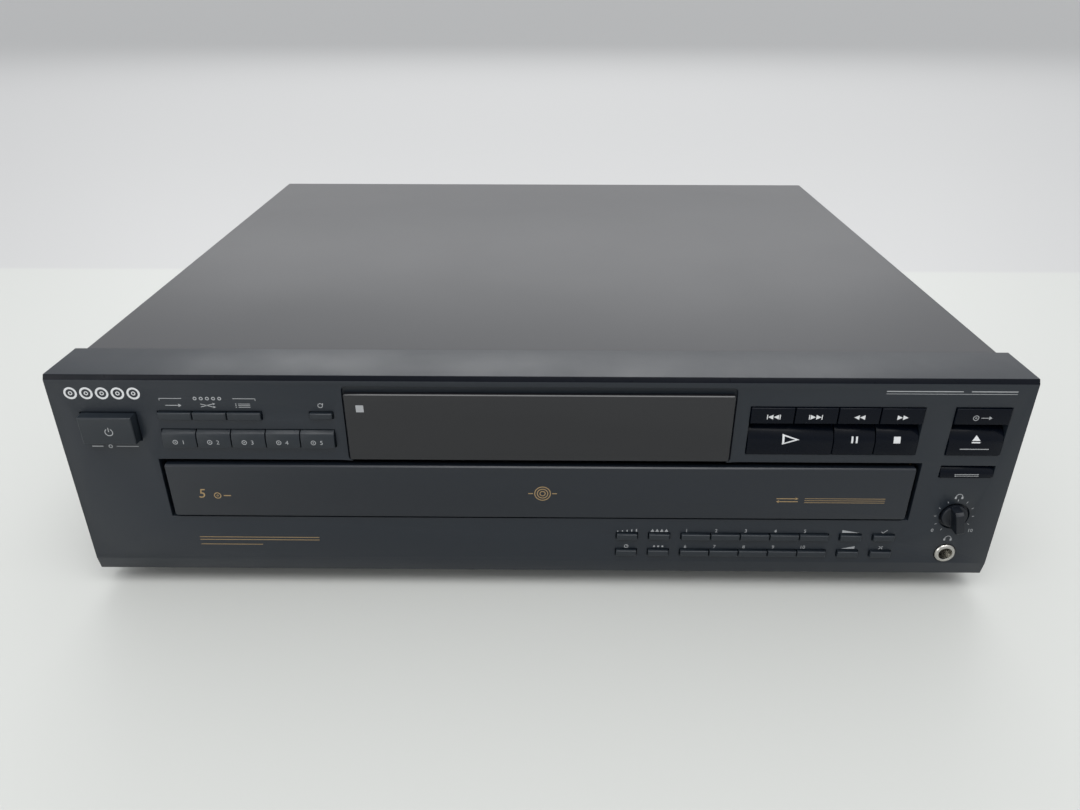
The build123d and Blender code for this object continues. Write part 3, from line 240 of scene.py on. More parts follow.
def onShell(spot, way):
    # the metal shells of the pin sockets: behind the holder, within a radius of a socket's axis
    s = shellSettings
    return spot.y > s["behind"] and any(math.hypot(spot.x - x, spot.z - z) < s["radius"]
                                        for x in s["across"] for z in s["up"])


def onLens(spot, way):
    # the level faces at the very top of the sled
    return way.z > facingMost and spot.z > sledTop - lensDepth


def onBoardPart(spot, way):
    # whatever stands on the main board, above its sheet
    return spot.y > boardSettings["behind"] and spot.z > boardSettings["above"]


def onSink(spot, way):
    # the finned heat sink near the board's left edge: inside its rectangle
    s = boardSettings
    return (s["sinkX"][0] < spot.x < s["sinkX"][1] and s["sinkY"][0] < spot.y < s["sinkY"][1]
            and spot.z > s["above"])


def onCan(spot, way):
    # the bare tops of the capacitors: level faces near one of their axes
    s = boardSettings
    return way.z > facingMost and spot.z > s["canAbove"] and any(
        math.hypot(spot.x - x, spot.y - y) < s["canRadius"] for x, y in s["cans"])


def onTube(spot, way):
    # the display tube just behind the pane
    s = tubeSettings
    return spot.y < s["near"] and abs(spot.x) < s["reach"] and spot.z > s["above"]


def onCoil(spot, way):
    # the coil that stands out of the core: farther from the middle than the core reaches
    return (abs(spot.x - coilMiddle) > coilReach - coilSettings["ends"]
            and spot.z > coilSettings["above"])


def onLoadingBelt(spot, way):
    # belt and pulleys of the drawer's motor lie above its can
    return spot.z > beltSettings["loadingAbove"]


def onTurningBelt(spot, way):
    # belt and pulleys of the carousel's motor lie below its can
    return spot.z < beltSettings["turningBelow"]


def onLoadingPulley(spot, way):
    # the pulley of that drive: within its radius of its axis
    x, y = beltSettings["loadingAxis"]
    return (onLoadingBelt(spot, way)
            and math.hypot(spot.x - x, spot.y - y) < beltSettings["pulleyRadius"])


def onTurningPulley(spot, way):
    # the pulley of that drive: within its radius of its axis
    x, y = beltSettings["turningAxis"]
    return (onTurningBelt(spot, way)
            and math.hypot(spot.x - x, spot.y - y) < beltSettings["pulleyRadius"])


paintedFaces = {
    # painted shade on the panel's lip and on the strip above the pane
    "front_panel": [(onLip, "paintedShadePlastic"), (inStrip, "paintedShadePlastic")],
    "rear_sockets": [(onShell, "brightMetal")],
    "pickup_sled": [(onLens, "lensGlass")],
    "circuit_boards": [(onBoardPart, "socketPlastic"), (onSink, "motorMetal"),
                       (onCan, "brightMetal"), (onTube, "tubeGlass")],
    "transformer": [(onCoil, "coilTape")],
    "loading_motor": [(onLoadingBelt, "beltRubber"), (onLoadingPulley, "gearPlastic")],
    "carousel_motor": [(onTurningBelt, "beltRubber"), (onTurningPulley, "gearPlastic")],
}

# width of the rounding in millimetres; keys not named here take keyWidth
edgeSettings = dict(keyWidth=0.14, sharp=25, segments=2, weld=1e-6, flat=0.4,
                    clamped=["drawer", "chassis", "transformer", "optical_unit", "pickup_sled"])
softEdges = {
    "front_panel": 0.22, "drawer_front": 0.25, "top_cover": 0.30, "level_knob": 0.25,
    "power_key": 0.22, "phone_jack": 0.10, "display_window": 0.08, "feet": 0.50,
    "chassis": 0.12, "drawer": 0.20, "rear_sockets": 0.15, "carousel_motor": 0.15,
    "loading_motor": 0.15, "transformer": 0.20, "optical_unit": 0.15, "pickup_sled": 0.12,
    "disc_clamp": 0.15, "circuit_boards": 0.10,
}


def softened(node, width):
    # a welded copy of the node, its flat faces joined and its special faces painted, whose edges
    # sharper than the set angle are rounded by a bevel of that width
    s = edgeSettings
    mesh = frame["nodes"][node].data.copy()
    made = bmesh.new()
    made.from_mesh(mesh)
    bmesh.ops.remove_doubles(made, verts=made.verts, dist=s["weld"])
    bmesh.ops.dissolve_limit(made, angle_limit=math.radians(s["flat"]), verts=made.verts,
                             edges=made.edges)
    for face in made.faces:
        face.smooth = True
    for number, (test, finish) in enumerate(paintedFaces.get(node, []), 1):
        mesh.materials.append(surfaces[finish])
        for face in made.faces:
            spot = (face.calc_center_median() - Vector((0, faceY, baseZ))) / mm
            if test(spot, face.normal):
                face.material_index = number
    made.to_mesh(mesh)
    made.free()
    piece = bpy.data.objects.new(node + "_soft", mesh)
    bpy.context.scene.collection.objects.link(piece)
    bevel = piece.modifiers.new("edge", "BEVEL")
    bevel.width = width * mm
    bevel.segments = s["segments"]
    bevel.limit_method = "ANGLE"
    bevel.angle_limit = math.radians(s["sharp"])
    bevel.use_clamp_overlap = node in s["clamped"]
    bevel.harden_normals = True
    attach(piece, bodyOf[node])
    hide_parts(node)


for name in frame["nodes"]:
    if name in softEdges:
        softened(name, softEdges[name])
    elif name.endswith("_key") or "_key_" in name:
        softened(name, edgeSettings["keyWidth"])
print("edges rounded")

# printed marks: thin closed prisms that stand a hair above the surface they are printed on
inkSettings = dict(lift=0.035, sink=0.02, band=0.6, fontSize=1.38, fontSteps=3)
inkLift, inkSink = inkSettings["lift"], inkSettings["sink"]
hair = 1e-9        # a difference too small to count
white, silver, gold = "whiteInk", "silverInk", "goldInk"
house = "housing"
prints = {}        # (body, ink) to a list of (points, faces)


def addPrint(body, ink, points, faces):
    # one more closed prism for the piece of that body and ink
    prints.setdefault((body, ink), []).append((np.array(points, float), faces))


def prism(body, ink, outline, depth=0.0):
    # a convex outline in (x, z), out to depth - lift in front and back to depth + sink behind
    outline = np.array(outline, float)
    count = len(outline)
    level = depth(outline[:, 1]) if callable(depth) else np.full(count, depth)
    front = np.stack([outline[:, 0], level - inkLift, outline[:, 1]], 1)
    back = np.stack([outline[:, 0], level + inkSink, outline[:, 1]], 1)
    around = [(i, (i + 1) % count, count + (i + 1) % count, count + i) for i in range(count)]
    faces = [tuple(range(count - 1, -1, -1)), tuple(range(count, 2 * count))] + around
    addPrint(body, ink, np.vstack([front, back]), faces)


def bands(outline, step):
    # cut a convex outline into level bands no higher than step, so that a mark can follow a
    # surface that curves back with z
    outline = [tuple(p) for p in outline]
    lowest = min(p[1] for p in outline)
    highest = max(p[1] for p in outline)
    count = max(1, int(math.ceil((highest - lowest) / step - hair)))
    for number in range(count):
        z0 = lowest + (highest - lowest) * number / count
        z1 = lowest + (highest - lowest) * (number + 1) / count
        part = outline
        for level, side in ((z0, 1), (z1, -1)):
            kept = []
            for i, p in enumerate(part):
                q = part[(i + 1) % len(part)]
                inP, inQ = side * (p[1] - level) >= -hair, side * (q[1] - level) >= -hair
                if inP:
                    kept.append(p)
                if inP != inQ:
                    t = (level - p[1]) / (q[1] - p[1])
                    kept.append((p[0] + t * (q[0] - p[0]), level))
            part = kept
        if len(part) > 2:
            yield part


def shape(body, ink, points, depth=0.0):
    # any convex outline; on a curved surface, band by band
    for part in bands(points, inkSettings["band"]) if callable(depth) else [points]:
        prism(body, ink, part, depth)


def stroke(body, ink, p, q, width, depth=0.0):
    # a straight line from p to q: a rectangle half the width to either side of it
    p, q = np.array(p, float), np.array(q, float)
    along = (q - p) / np.linalg.norm(q - p)
    aside = np.array([-along[1], along[0]]) * width / 2
    shape(body, ink, [p - aside, q - aside, q + aside, p + aside], depth)


def arcBand(body, ink, cx, cz, inner, outer, start, end, count, depth=0.0):
    # part of a ring: centre plus each radius times cosine and sine of an angle that runs from
    # start to end, closed in front, behind and at both rims
    whole = abs(end - start) >= 360
    turn = np.radians(np.linspace(start, end, count + 1))[: count if whole else count + 1]
    n = len(turn)
    rings = []
    for radius, level in ((outer, -inkLift), (inner, -inkLift), (inner, inkSink),
                          (outer, inkSink)):
        rings.append(np.stack([cx + radius * np.cos(turn), np.full(n, depth + level),
                               cz + radius * np.sin(turn)], 1))
    faces = []
    for i in range(n if whole else n - 1):
        j = (i + 1) % n
        for a in range(4):
            b = (a + 1) % 4
            faces.append((a * n + i, b * n + i, b * n + j, a * n + j))
    if not whole:
        faces.append((0, 3 * n, 2 * n, n))
        faces.append((n - 1, 2 * n - 1, 3 * n - 1, 4 * n - 1))
    addPrint(body, ink, np.vstack(rings), faces)


def digits(body, ink, text, cx, cz, height, depth=0.0, lean=0.0, flat=False, turn=0.0):
    # plain numbers from the built-in font, made a mesh first and then stood up on the surface;
    # flat ones lie on a level surface at that depth, turned by so many degrees
    curve = bpy.data.curves.new("digits", "FONT")
    curve.body = text
    curve.size = height * inkSettings["fontSize"]
    curve.shear = lean
    curve.align_x = "CENTER"
    curve.resolution_u = inkSettings["fontSteps"]
    curve.extrude = (inkLift + inkSink) / 2
    holder = bpy.data.objects.new("digits", curve)
    bpy.context.scene.collection.objects.link(holder)
    depsgraph = bpy.context.evaluated_depsgraph_get()
    mesh = bpy.data.meshes.new_from_object(holder.evaluated_get(depsgraph))
    points = np.zeros(len(mesh.vertices) * 3)
    mesh.vertices.foreach_get("co", points)
    points = points.reshape(-1, 3)
    points[:, 0] -= (points[:, 0].max() + points[:, 0].min()) / 2
    points[:, 1] -= (points[:, 1].max() + points[:, 1].min()) / 2
    along, aside = math.cos(math.radians(turn)), math.sin(math.radians(turn))
    points[:, 0], points[:, 1] = (cx + points[:, 0] * along - points[:, 1] * aside,
                                  cz + points[:, 0] * aside + points[:, 1] * along)
    half = (inkLift - inkSink) / 2
    if flat:
        stood = np.stack([points[:, 0], points[:, 1], depth + half + points[:, 2]], 1)
    else:
        stood = np.stack([points[:, 0], depth - half - points[:, 2], points[:, 1]], 1)
    addPrint(body, ink, stood, [tuple(f.vertices) for f in mesh.polygons])
    bpy.data.objects.remove(holder)
    bpy.data.meshes.remove(mesh)
    bpy.data.curves.remove(curve)


def line(x0, z0, x1, z1, width=0.32):
    # a straight stroke of a sign, about the sign's own middle
    return "line", (x0, z0), (x1, z1), width


def ring(x, z, inner, outer, count, start=0, end=360):
    # a ring of a sign, or part of one
    return "ring", (x, z), inner, outer, start, end, count


def tip(x, z, wide, high, way=1):
    # an arrow head: a triangle whose point faces right, or left where way is -1
    points = [(x - way * wide / 2, z - high / 2), (x + way * wide / 2, z),
              (x - way * wide / 2, z + high / 2)]
    return "shape", points[::way]


def block(x0, x1, z0, z1):
    # an upright rectangle
    return "shape", [(x0, z0), (x1, z0), (x1, z1), (x0, z1)]


def outlined(points, part):
    # a polygon's border: the strips between its sides and those of a copy shrunk to that part
    outer = np.array(points, float)
    inner = outer.mean(0) + (outer - outer.mean(0)) * part
    ends = [(i, (i + 1) % len(outer)) for i in range(len(outer))]
    return [("shape", [outer[i], outer[j], inner[j], inner[i]]) for i, j in ends]


# where an arrow's shaft stops, its head's middle, length and height, as parts of the sign's height
arrowSettings = dict(shaft=0.35, head=0.2, long=0.4, high=0.45)


def swapped(wide, high, width):
    # two thin arrows, a quarter of the height above and below the middle, that point opposite ways
    s, out = arrowSettings, []
    for side in (1, -1):
        z, end = side * high / 4, side * wide / 2
        out.append(line(-end, z, end - side * high * s["shaft"], z, width))
        out.append(tip(end - side * high * s["head"], z, high * s["long"], high * s["high"], side))
    return out


# every sign as lines, rings and shapes about its own middle, in millimetres
signs = {
    "discRow": [ring(0, 0, 2.0, 2.9, 30), ring(0, 0, 0.55, 0.95, 14)],
    "powerRules": [line(-8.3, 0, -3.3, 0, 0.5), ring(0, 0, 0.55, 0.95, 16),
                   line(2.7, 0, 12.7, 0, 0.3)],
    "bracketLeft": [line(0, 0, 9.8, 0, 0.28), line(0, 0.1, 0, -1.0, 0.28)],
    "bracketRight": [line(-9.8, 0, 0, 0, 0.28), line(0, 0.1, 0, -1.0, 0.28)],
    "smallRings": [ring(2.7 * i, 0, 0.45, 0.85, 14) for i in range(5)],
    "cornerRules": [line(0, 0, 33.0, 0, 0.45), line(36.5, 0, 56.5, 0, 0.45),
                    line(0, -1.2, 56.5, -1.2, 0.22)],
    "goldRules": [line(0, 0, 57.3, 0, 0.3), line(0, -1.5, 57.3, -1.5, 0.3),
                  line(0, -4.2, 29.7, -4.2, 0.3)],
    "straight": [line(-3.4, 0, 2.4, 0), tip(3.0, 0, 1.4, 1.7)],
    "crossed": [line(-3.2, -0.75, 2.2, 0.75), tip(2.8, 0.8, 1.1, 1.1),
                line(-3.2, 0.75, 2.2, -0.75), tip(2.8, -0.8, 1.1, 1.1)],
    "list": [line(-2.0, z, 3.2, z, 0.26) for z in (-0.8, 0, 0.8)]
            + [ring(-3.0, z, 0.0, 0.26, 10) for z in (-0.8, 0, 0.8)],
    "again": [ring(0, 0.2, 0.85, 1.15, 22, 60, 390), tip(0.85, 0.95, 0.9, 0.9, -1)],
    "bars": [line(-4.4 + i * 2.2, -0.8, -4.4 + i * 2.2, -0.3 + 0.25 * i, 0.5) for i in range(5)],
    "peaks": [("shape", [(-4.2 + i * 2.2, -0.8), (-2.4 + i * 2.2, -0.8), (-3.3 + i * 2.2, 0.8)])
              for i in range(4)],
    "fall": [("shape", [(-4.2, -0.7), (3.8, -0.7), (-4.2, 0.8)])],
    "rise": [("shape", [(-3.2, -0.7), (3.2, -0.7), (3.2, 0.8)])],
    "clock": [ring(0, 0, 0.75, 1.05, 20), line(0, 0, 0, 0.7, 0.22), line(0, 0, 0.5, 0, 0.22)],
    "dots": [ring(x, 0, 0.0, 0.5, 14) for x in (-2.0, 0, 2.0)],
    "tick": [line(-1.3, 0, -0.4, -0.8), line(-0.5, -0.8, 1.4, 0.9)],
    "cross": [line(-0.9, -0.8, 0.9, 0.8), line(-0.9, 0.8, 0.9, -0.8)],
    "headphones": [ring(0, 0, 1.35, 1.65, 18, 0, 180), block(-1.95, -1.05, -1.1, 0.1),
                   block(1.05, 1.95, -1.1, 0.1)],
    "power": [ring(0, 0, 1.5, 1.85, 24, 120, 420), line(0, 0.2, 0, 2.3, 0.34)],
    "disc": [ring(0, 0, 0.85, 1.15, 20), ring(0, 0, 0.15, 0.35, 10)],
    "previous": [tip(-0.95, 0, 2.3, 2.3, -1), tip(1.55, 0, 2.3, 2.3, -1),
                 block(-2.55, -2.15, -1.15, 1.15), block(3.0, 3.4, -1.15, 1.15)],
    "next": [tip(-1.55, 0, 2.3, 2.3), tip(0.95, 0, 2.3, 2.3),
             block(2.15, 2.55, -1.15, 1.15), block(-3.4, -3.0, -1.15, 1.15)],
    "rewind": [tip(-1.25, 0, 2.3, 2.3, -1), tip(1.25, 0, 2.3, 2.3, -1)],
    "forward": [tip(-1.25, 0, 2.3, 2.3), tip(1.25, 0, 2.3, 2.3)],
    "play": outlined([(-3.6, -2.4), (4.0, 0), (-3.6, 2.4)], 0.62),
    "pause": [block(-1.42, -0.58, -1.5, 1.5), block(0.58, 1.42, -1.5, 1.5)],
    "stop": [block(-1.5, 1.5, -1.5, 1.5)],
    "open": [("shape", [(-1.9, -0.1), (1.9, -0.1), (0, 2.3)]), block(-1.9, 1.9, -1.2, -0.6)],
    "openRule": [line(-6.5, -4.3, 6.5, -4.3, 0.4)],
    "skip": [ring(-3.2, 0, 1.0, 1.3, 20), ring(-3.2, 0, 0.2, 0.42, 10),
             line(-0.9, 0, 2.6, 0), tip(3.2, 0, 1.4, 1.8)],
    "exchange": swapped(11.0, 1.7, 0.25),
    "doorDisc": [ring(0, 0, 1.25, 1.7, 26), ring(0, 0, 0.25, 0.5, 14),
                 line(2.8, 0, 6.2, 0, 0.5)],
    "doorRings": [ring(0, 0, radius, radius + 0.42, 40) for radius in (1.0, 2.2, 3.4)]
                 + [line(-4.4, 0, -6.6, 0, 0.42), line(4.4, 0, 6.6, 0, 0.42)],
    "doorSwap": swapped(10.0, 3.2, 0.42),
    "doorRules": [line(0, z, 37.0, z, 0.24) for z in (1.1, 0, -1.1)],
    "sensor": [block(-1.7, 1.7, -1.7, 1.7)],
}


def drawSign(body, ink, name, cx, cz, depth=0.0):
    # every part of the sign, with its own middle moved to (cx, cz)
    for kind, *rest in signs[name]:
        if kind == "line":
            (x0, z0), (x1, z1), width = rest
            stroke(body, ink, (cx + x0, cz + z0), (cx + x1, cz + z1), width, depth)
        elif kind == "ring":
            (x, z), inner, outer, start, end, count = rest
            arcBand(body, ink, cx + x, cz + z, inner, outer, start, end, count, depth)
        else:
            shape(body, ink, [(cx + x, cz + z) for x, z in rest[0]], depth)


def middleOf(name):
    # x halfway between a node's two sides
    low, high = boxOf(name)
    return (low.x + high.x) / 2


# signs on the panel: ink, sign, x and z of its middle
panelSigns = [(silver, "discRow", -204.6 + number * 6.9, 96.5) for number in range(5)]
panelSigns += [(white, "cornerRules", 150.0, 99.4), (white, "powerRules", -193.2, 69.8),
               (white, "bracketLeft", -166.3, 94.2), (white, "bracketRight", -124.2, 94.2),
               (white, "smallRings", -150.6, 94.2), (gold, "goldRules", -162.3, 19.9),
               (white, "headphones", 193.8, 45.2), (white, "headphones", 193.8, 21.6)]
modeSigns = {"continue_key": "straight", "shuffle_key": "crossed", "program_key": "list",
             "repeat_key": "again"}
smallSigns = {"scan_key": "bars", "time_key": "clock", "edit_key": "peaks", "mode_key": "dots",
              "fade_key": "fall", "fader_key": "rise", "check_key": "tick", "clear_key": "cross"}
rowSettings = dict(modeZ=90.8, upperZ=25.3, lowerZ=16.0, between=18, inset=2.3, insetTen=2.6,
                   height=1.9)
panelSigns += [(white, sign, middleOf(key), rowSettings["modeZ"])
               for key, sign in modeSigns.items()]


def rowOf(name):
    # the height of the signs over a key: one value for each of the two rows
    upper = boxOf(name)[0].z > rowSettings["between"]
    return rowSettings["upperZ"] if upper else rowSettings["lowerZ"]


panelSigns += [(white, sign, middleOf(key), rowOf(key)) for key, sign in smallSigns.items()]
for ink, sign, x, z in panelSigns:
    drawSign(house, ink, sign, x, z)
for number in range(1, 11):        # the ten number keys
    key = f"number_key_{number}"
    inset = rowSettings["inset" if number < 10 else "insetTen"]
    digits(house, white, str(number), boxOf(key)[0].x + inset, rowOf(key), rowSettings["height"])

# headphone level: a tick every 30 degrees of the knob's travel, and its two end numbers
levelSettings = dict(x=193.8, z=34.5, inner=8.3, outer=9.3, width=0.25, ticks=11, first=240,
                     step=30, height=1.8, numbers=[("0", 185.4), ("10", 203.4)], numberZ=26.4)
for number in range(levelSettings["ticks"]):
    angle = math.radians(levelSettings["first"] - levelSettings["step"] * number)
    ends = [(levelSettings["x"] + levelSettings[k] * math.cos(angle),
             levelSettings["z"] + levelSettings[k] * math.sin(angle)) for k in ("inner", "outer")]
    stroke(house, white, *ends, levelSettings["width"])
for text, x in levelSettings["numbers"]:
    digits(house, white, text, x, levelSettings["numberZ"], levelSettings["height"])

# signs on the keys: ink, sign, how far right of the key's middle, z, and the kind of front
frontOf = {"power": -4.7, "top": -0.9, "disc": -1.9, "low": -0.5}
keyRadius = 8.5
keySigns = {
    "power_key": [(white, "power", 1.0, 79.6, "power")],
    **{f"disc_key_{number}": [(white, "disc", -1.9, 73.2, "disc")] for number in range(1, 6)},
    "previous_key": [(silver, "previous", 0, 87.0, "top")],
    "next_key": [(silver, "next", 0, 87.0, "top")],
    "rewind_key": [(silver, "rewind", 0, 87.0, "top")],
    "forward_key": [(silver, "forward", 0, 87.0, "top")],
    "play_key": [(silver, "play", 0, 75.3, "round")],
    "pause_key": [(silver, "pause", 0, 75.3, "round")],
    "stop_key": [(silver, "stop", 0, 75.3, "round")],
    "open_key": [(silver, "open", 0, 75.3, "round"), (white, "openRule", 0, 75.3, "round")],
    "disc_skip_key": [(white, "skip", 0, 87.0, "top")],
    "exchange_key": [(white, "exchange", 0, 57.3, "low")],
}
discNumbers = dict(aside=1.7, z=73.2, height=2.1)


def roundFront(name):
    # depth of a round-topped key's front at a height: flat up to the spring line, then the
    # radius less the root of radius squared minus height above the line squared, going back
    front, top = frontOf["low"], boxOf(name)[1].z

    def depth(z):
        up = np.clip(np.asarray(z, float) - (top - keyRadius), 0, keyRadius)
        return front + keyRadius - np.sqrt(keyRadius**2 - up**2)
    return depth


for key, marks in keySigns.items():
    for ink, sign, aside, z, kind in marks:
        front = roundFront(key) if kind == "round" else frontOf[kind]
        drawSign(bodyOf[key], ink, sign, middleOf(key) + aside, z, front)
for number in range(1, 6):
    key = f"disc_key_{number}"
    digits(bodyOf[key], white, str(number), middleOf(key) + discNumbers["aside"],
           discNumbers["z"], discNumbers["height"], depth=frontOf["disc"])

# signs on the drawer's front and the sensor patch in the pane's corner
doorSettings = dict(text="5", x=-156.0, z=45.4, height=5.0, lean=0.18)
doorSigns = [("doorDisc", -149.0, 44.3), ("doorRings", 1.6, 46.4), ("doorSwap", 114.5, 43.6),
             ("doorRules", 122.5, 43.4)]
sensorSpot = (-78.6, 90.0)
doorFace, paneFace = boxOf("drawer_front")[0].y, boxOf("display_window")[0].y
for sign, x, z in doorSigns:
    drawSign("drawer", gold, sign, x, z, doorFace)
digits("drawer", gold, doorSettings["text"], doorSettings["x"], doorSettings["z"],
       doorSettings["height"], depth=doorFace, lean=doorSettings["lean"])
drawSign(house, white, "sensor", *sensorSpot, paneFace)

# the wells' numbers on the carousel's hub, each read from the rim
hubSettings = dict(y=174.99, reach=29.0, height=7.0, wells=5, first=90, step=72)
hubTop = boxOf("carousel")[1].z
for number in range(hubSettings["wells"]):
    turn = hubSettings["first"] + hubSettings["step"] * number
    digits("carousel", white, str(number + 1),
           hubSettings["reach"] * math.cos(math.radians(turn)),
           hubSettings["y"] + hubSettings["reach"] * math.sin(math.radians(turn)),
           hubSettings["height"], depth=hubTop, flat=True, turn=turn + 90)


def addPiece(name, parts, finish, body):
    # one mesh out of many (points, faces): points one after another, faces counted on
    points, faces, base = [], [], 0
    for part, loops in parts:
        points.append(part)
        faces += [tuple(base + i for i in loop) for loop in loops]
        base += len(part)
    mesh = bpy.data.meshes.new(name)
    mesh.from_pydata(place(np.vstack(points)).tolist(), [], faces)
    mesh.validate()
    mesh.materials.append(surfaces[finish])
    piece = bpy.data.objects.new(name, mesh)
    bpy.context.scene.collection.objects.link(piece)
    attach(piece, body)
    return piece


for (body, ink), parts in prints.items():
    addPiece(f"marks_{body}_{ink}", parts, ink, body)
print("marks drawn:", sum(len(parts) for parts in prints.values()))

screwSettings = dict(profile=[(3.1, 0.0), (3.1, 0.45), (2.7, 1.0), (1.7, 1.35), (0.001, 1.45)],
                     around=28, slotLong=2.0, slotHalf=0.42, slotDeep=0.75, slotOver=1.0,
                     gap=0.02, sideY=(72.0, 318.0), sideZ=58.0, rearX=(-150.0, 0.0, 150.0),
                     rearZ=100.0)


def screwMesh():
    # a domed head, its profile of radius and height turned about z by cosine and sine of the
    # angle, with a crossed slot cut from its top
    s = screwSettings
    n, last = s["around"], len(s["profile"]) - 1
    angles = np.linspace(0, 2 * np.pi, n, endpoint=False)
    rings = [np.stack([r * np.cos(angles), r * np.sin(angles), np.full(n, h)], 1)
             for r, h in s["profile"]]
    faces = [(k * n + i, k * n + (i + 1) % n, (k + 1) * n + (i + 1) % n, (k + 1) * n + i)
             for k in range(last) for i in range(n)]
    faces += [tuple(range(n - 1, -1, -1)), tuple(last * n + i for i in range(n))]
    head = bpy.data.meshes.new("screw")
    head.from_pydata(np.vstack(rings).tolist(), [], faces)
    long, half = s["slotLong"], s["slotHalf"]
    cross = [(long, -half), (long, half), (half, half), (half, long), (-half, long),
             (-half, half), (-long, half), (-long, -half), (-half, -half), (-half, -long),
             (half, -long), (half, -half)]
    top, count = s["profile"][-1][1], len(cross)
    points = [(x, y, top - s["slotDeep"]) for x, y in cross]
    points += [(x, y, top + s["slotOver"]) for x, y in cross]
    sides = [(i, (i + 1) % count, count + (i + 1) % count, count + i) for i in range(count)]
    ends = [tuple(range(count - 1, -1, -1)), tuple(range(count, 2 * count))]
    cutter = bpy.data.meshes.new("cross")
    cutter.from_pydata(points, [], ends + sides)
    holder, tool = (bpy.data.objects.new(m.name, m) for m in (head, cutter))
    for piece in (holder, tool):
        bpy.context.scene.collection.objects.link(piece)
    cut = holder.modifiers.new("cut", "BOOLEAN")
    cut.operation, cut.solver, cut.object = "DIFFERENCE", "EXACT", tool
    depsgraph = bpy.context.evaluated_depsgraph_get()
    made = bpy.data.meshes.new_from_object(holder.evaluated_get(depsgraph))
    points = np.zeros(len(made.vertices) * 3)
    made.vertices.foreach_get("co", points)
    loops = [tuple(face.vertices) for face in made.polygons]
    for piece in (holder, tool):
        bpy.data.objects.remove(piece)
    for mesh in (head, cutter, made):
        bpy.data.meshes.remove(mesh)
    return points.reshape(-1, 3), loops


def screwSpots():
    # two heads on each side of the cover and three on its rear lip, a hair clear of the steel
    s, high = screwSettings, boxOf("top_cover")[1]
    spots = [((side * (high.x + s["gap"]), y, s["sideZ"]), (side, 0, 0))
             for side in (-1, 1) for y in s["sideY"]]
    return spots + [((x, high.y + s["gap"], s["rearZ"]), (0, 1, 0)) for x in s["rearX"]]


headPoints, headLoops = screwMesh()
heads = []
for spot, outward in screwSpots():
    outward, upward = np.array(outward, float), np.array([0.0, 0.0, 1.0])
    turned = headPoints @ np.stack([np.cross(upward, outward), upward, outward])
    heads.append((np.array(spot) + turned, headLoops))
screws = addPiece("cover_screws", heads, "screwSteel", house)
print("screws set:", len(heads))

stageSettings = dict(table=(0.520, 0.528, 0.510), seam=(0.50, 0.50, 0.495),
                     beyond=(0.480, 0.480, 0.480), seamY=0.308, seamWidth=0.004, size=60.0,
                     rough=0.42, specular=0.35, low=0.58, high=0.90, turnsHigh=0.7,
                     tint=(0.97, 0.985, 1.0))


def makeFloor():
    # a level floor whose colour changes softly, at a seam behind the unit
    s = stageSettings
    half = s["size"] / 2
    corners = [(-half, -half, 0), (half, -half, 0), (half, half, 0), (-half, half, 0)]
    mesh = bpy.data.meshes.new("floor")
    mesh.from_pydata(corners, [], [(0, 1, 2, 3)])
    floor = bpy.data.objects.new("floor", mesh)
    bpy.context.scene.collection.objects.link(floor)
    material = bpy.data.materials.new("floorPaint")
    material.use_nodes = True
    nodes, links = material.node_tree.nodes, material.node_tree.links
    shader = nodes["Principled BSDF"]
    where = nodes.new("ShaderNodeTexCoord")
    split = nodes.new("ShaderNodeSeparateXYZ")
    links.new(where.outputs["Object"], split.inputs["Vector"])
    along = nodes.new("ShaderNodeMapRange")
    along.inputs["From Min"].default_value = s["seamY"] - s["seamWidth"]
    along.inputs["From Max"].default_value = s["seamY"] + s["seamWidth"]
    links.new(split.outputs["Y"], along.inputs["Value"])
    ramp = nodes.new("ShaderNodeValToRGB")
    ramp.color_ramp.elements[0].color = (*s["table"], 1)
    ramp.color_ramp.elements[1].color = (*s["beyond"], 1)
    ramp.color_ramp.elements.new(0.5).color = (*s["seam"], 1)
    links.new(along.outputs["Result"], ramp.inputs["Fac"])
    links.new(ramp.outputs["Color"], shader.inputs["Base Color"])
    shader.inputs["Roughness"].default_value = s["rough"]
    shader.inputs["Specular IOR Level"].default_value = s["specular"]
    mesh.materials.append(material)


def makeSky():
    # an even sky that brightens smoothly from the horizon up
    s = stageSettings
    world = bpy.data.worlds.new("studio")
    bpy.context.scene.world = world
    world.use_nodes = True
    nodes, links = world.node_tree.nodes, world.node_tree.links
    ground = nodes["Background"]
    where = nodes.new("ShaderNodeTexCoord")
    split = nodes.new("ShaderNodeSeparateXYZ")
    links.new(where.outputs["Generated"], split.inputs["Vector"])
    rise = nodes.new("ShaderNodeMapRange")
    rise.interpolation_type = "SMOOTHSTEP"
    rise.inputs["From Max"].default_value = s["turnsHigh"]
    rise.inputs["To Min"].default_value = s["low"]
    rise.inputs["To Max"].default_value = s["high"]
    links.new(split.outputs["Z"], rise.inputs["Value"])
    links.new(rise.outputs["Result"], ground.inputs["Strength"])
    ground.inputs["Color"].default_value = (*s["tint"], 1)


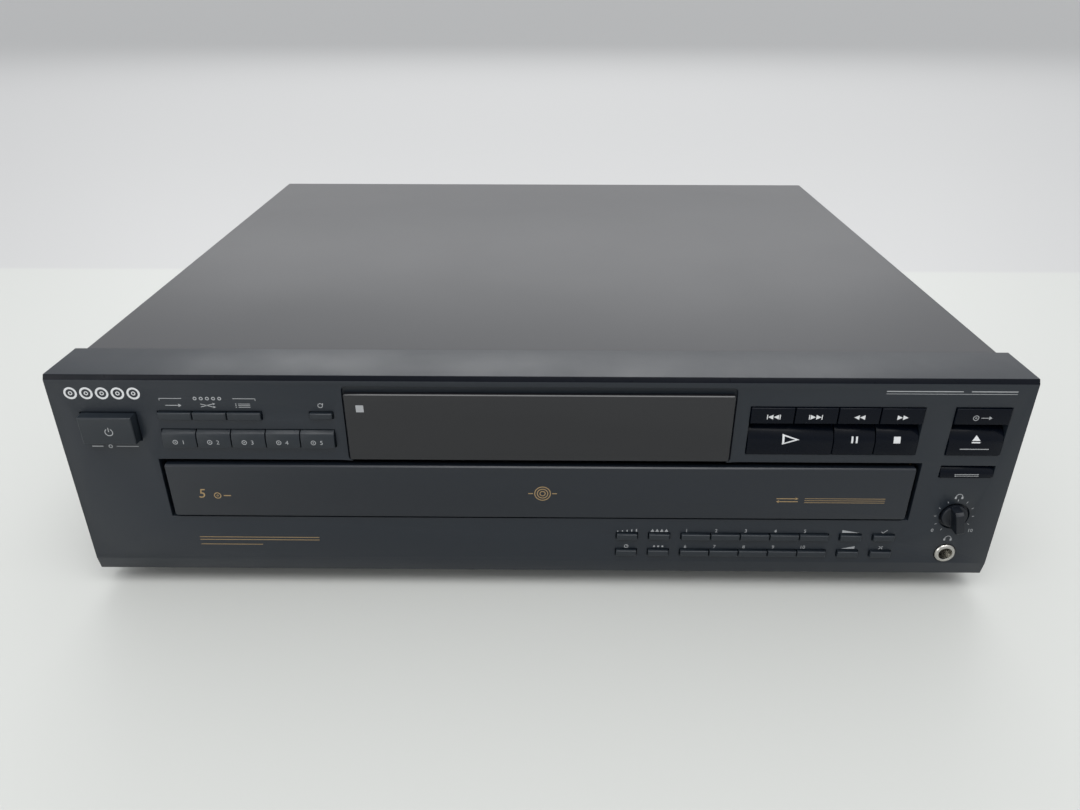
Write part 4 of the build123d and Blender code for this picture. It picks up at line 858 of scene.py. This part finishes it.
lightSettings = {
    "overhead": dict(spot=(0.1, -0.9, 1.7), aim=(0.05, -0.35, 0), size=(1.6, 1.2), power=23),
    "left window": dict(spot=(-1.5, -1.5, 0.45), aim=(-0.1, 0, 0.05), size=(0.9, 0.8), power=8),
    "back window": dict(spot=(0.0, 2.3, 1.6), aim=(0, 0, 0.1), size=(3.2, 0.9), power=30),
}


def softbox(name):
    # a rectangle of light at its spot, turned to face its aim
    s = lightSettings[name]
    light = bpy.data.lights.new(name, "AREA")
    light.shape = "RECTANGLE"
    light.size, light.size_y = s["size"]
    light.energy = s["power"]
    holder = bpy.data.objects.new(name, light)
    holder.location = s["spot"]
    toAim = Vector(s["aim"]) - Vector(s["spot"])
    holder.rotation_euler = toAim.to_track_quat("-Z", "Y").to_euler()
    bpy.context.scene.collection.objects.link(holder)


# spot in panel millimetres, angles in degrees, focal length in pixels of that width
cameraSettings = dict(spot=(3.08, -321.36, 259.30), pitch=-27.516, yaw=0.486, roll=0.075,
                      focal=829.44, width=1080, sensor=36.0, near=0.01, far=50)


def makeCamera():
    # looking direction from pitch and yaw: minus sine and plus cosine of yaw, times cosine of
    # pitch, and sine of pitch upwards; the roll turns the picture about it
    s = cameraSettings
    pitch, yaw, roll = (math.radians(s[k]) for k in ("pitch", "yaw", "roll"))
    ahead = np.array([-math.sin(yaw) * math.cos(pitch), math.cos(yaw) * math.cos(pitch),
                      math.sin(pitch)])
    level = np.array([math.cos(yaw), math.sin(yaw), 0.0])
    above = np.cross(level, ahead)
    right = math.cos(roll) * level + math.sin(roll) * above
    up = math.cos(roll) * above - math.sin(roll) * level
    data = bpy.data.cameras.new("camera")
    data.sensor_width = s["sensor"]
    data.lens = s["focal"] / s["width"] * s["sensor"]
    data.clip_start, data.clip_end = s["near"], s["far"]
    camera = bpy.data.objects.new("camera", data)
    turn = Matrix((right, up, -ahead)).transposed().to_4x4()
    camera.matrix_world = Matrix.Translation(place(s["spot"])[0].tolist()) @ turn
    bpy.context.scene.collection.objects.link(camera)
    bpy.context.scene.camera = camera


makeFloor()
makeSky()
for name in lightSettings:
    softbox(name)
makeCamera()
bpy.context.scene.view_settings.view_transform = "Standard"
print("stage, lights and camera made")
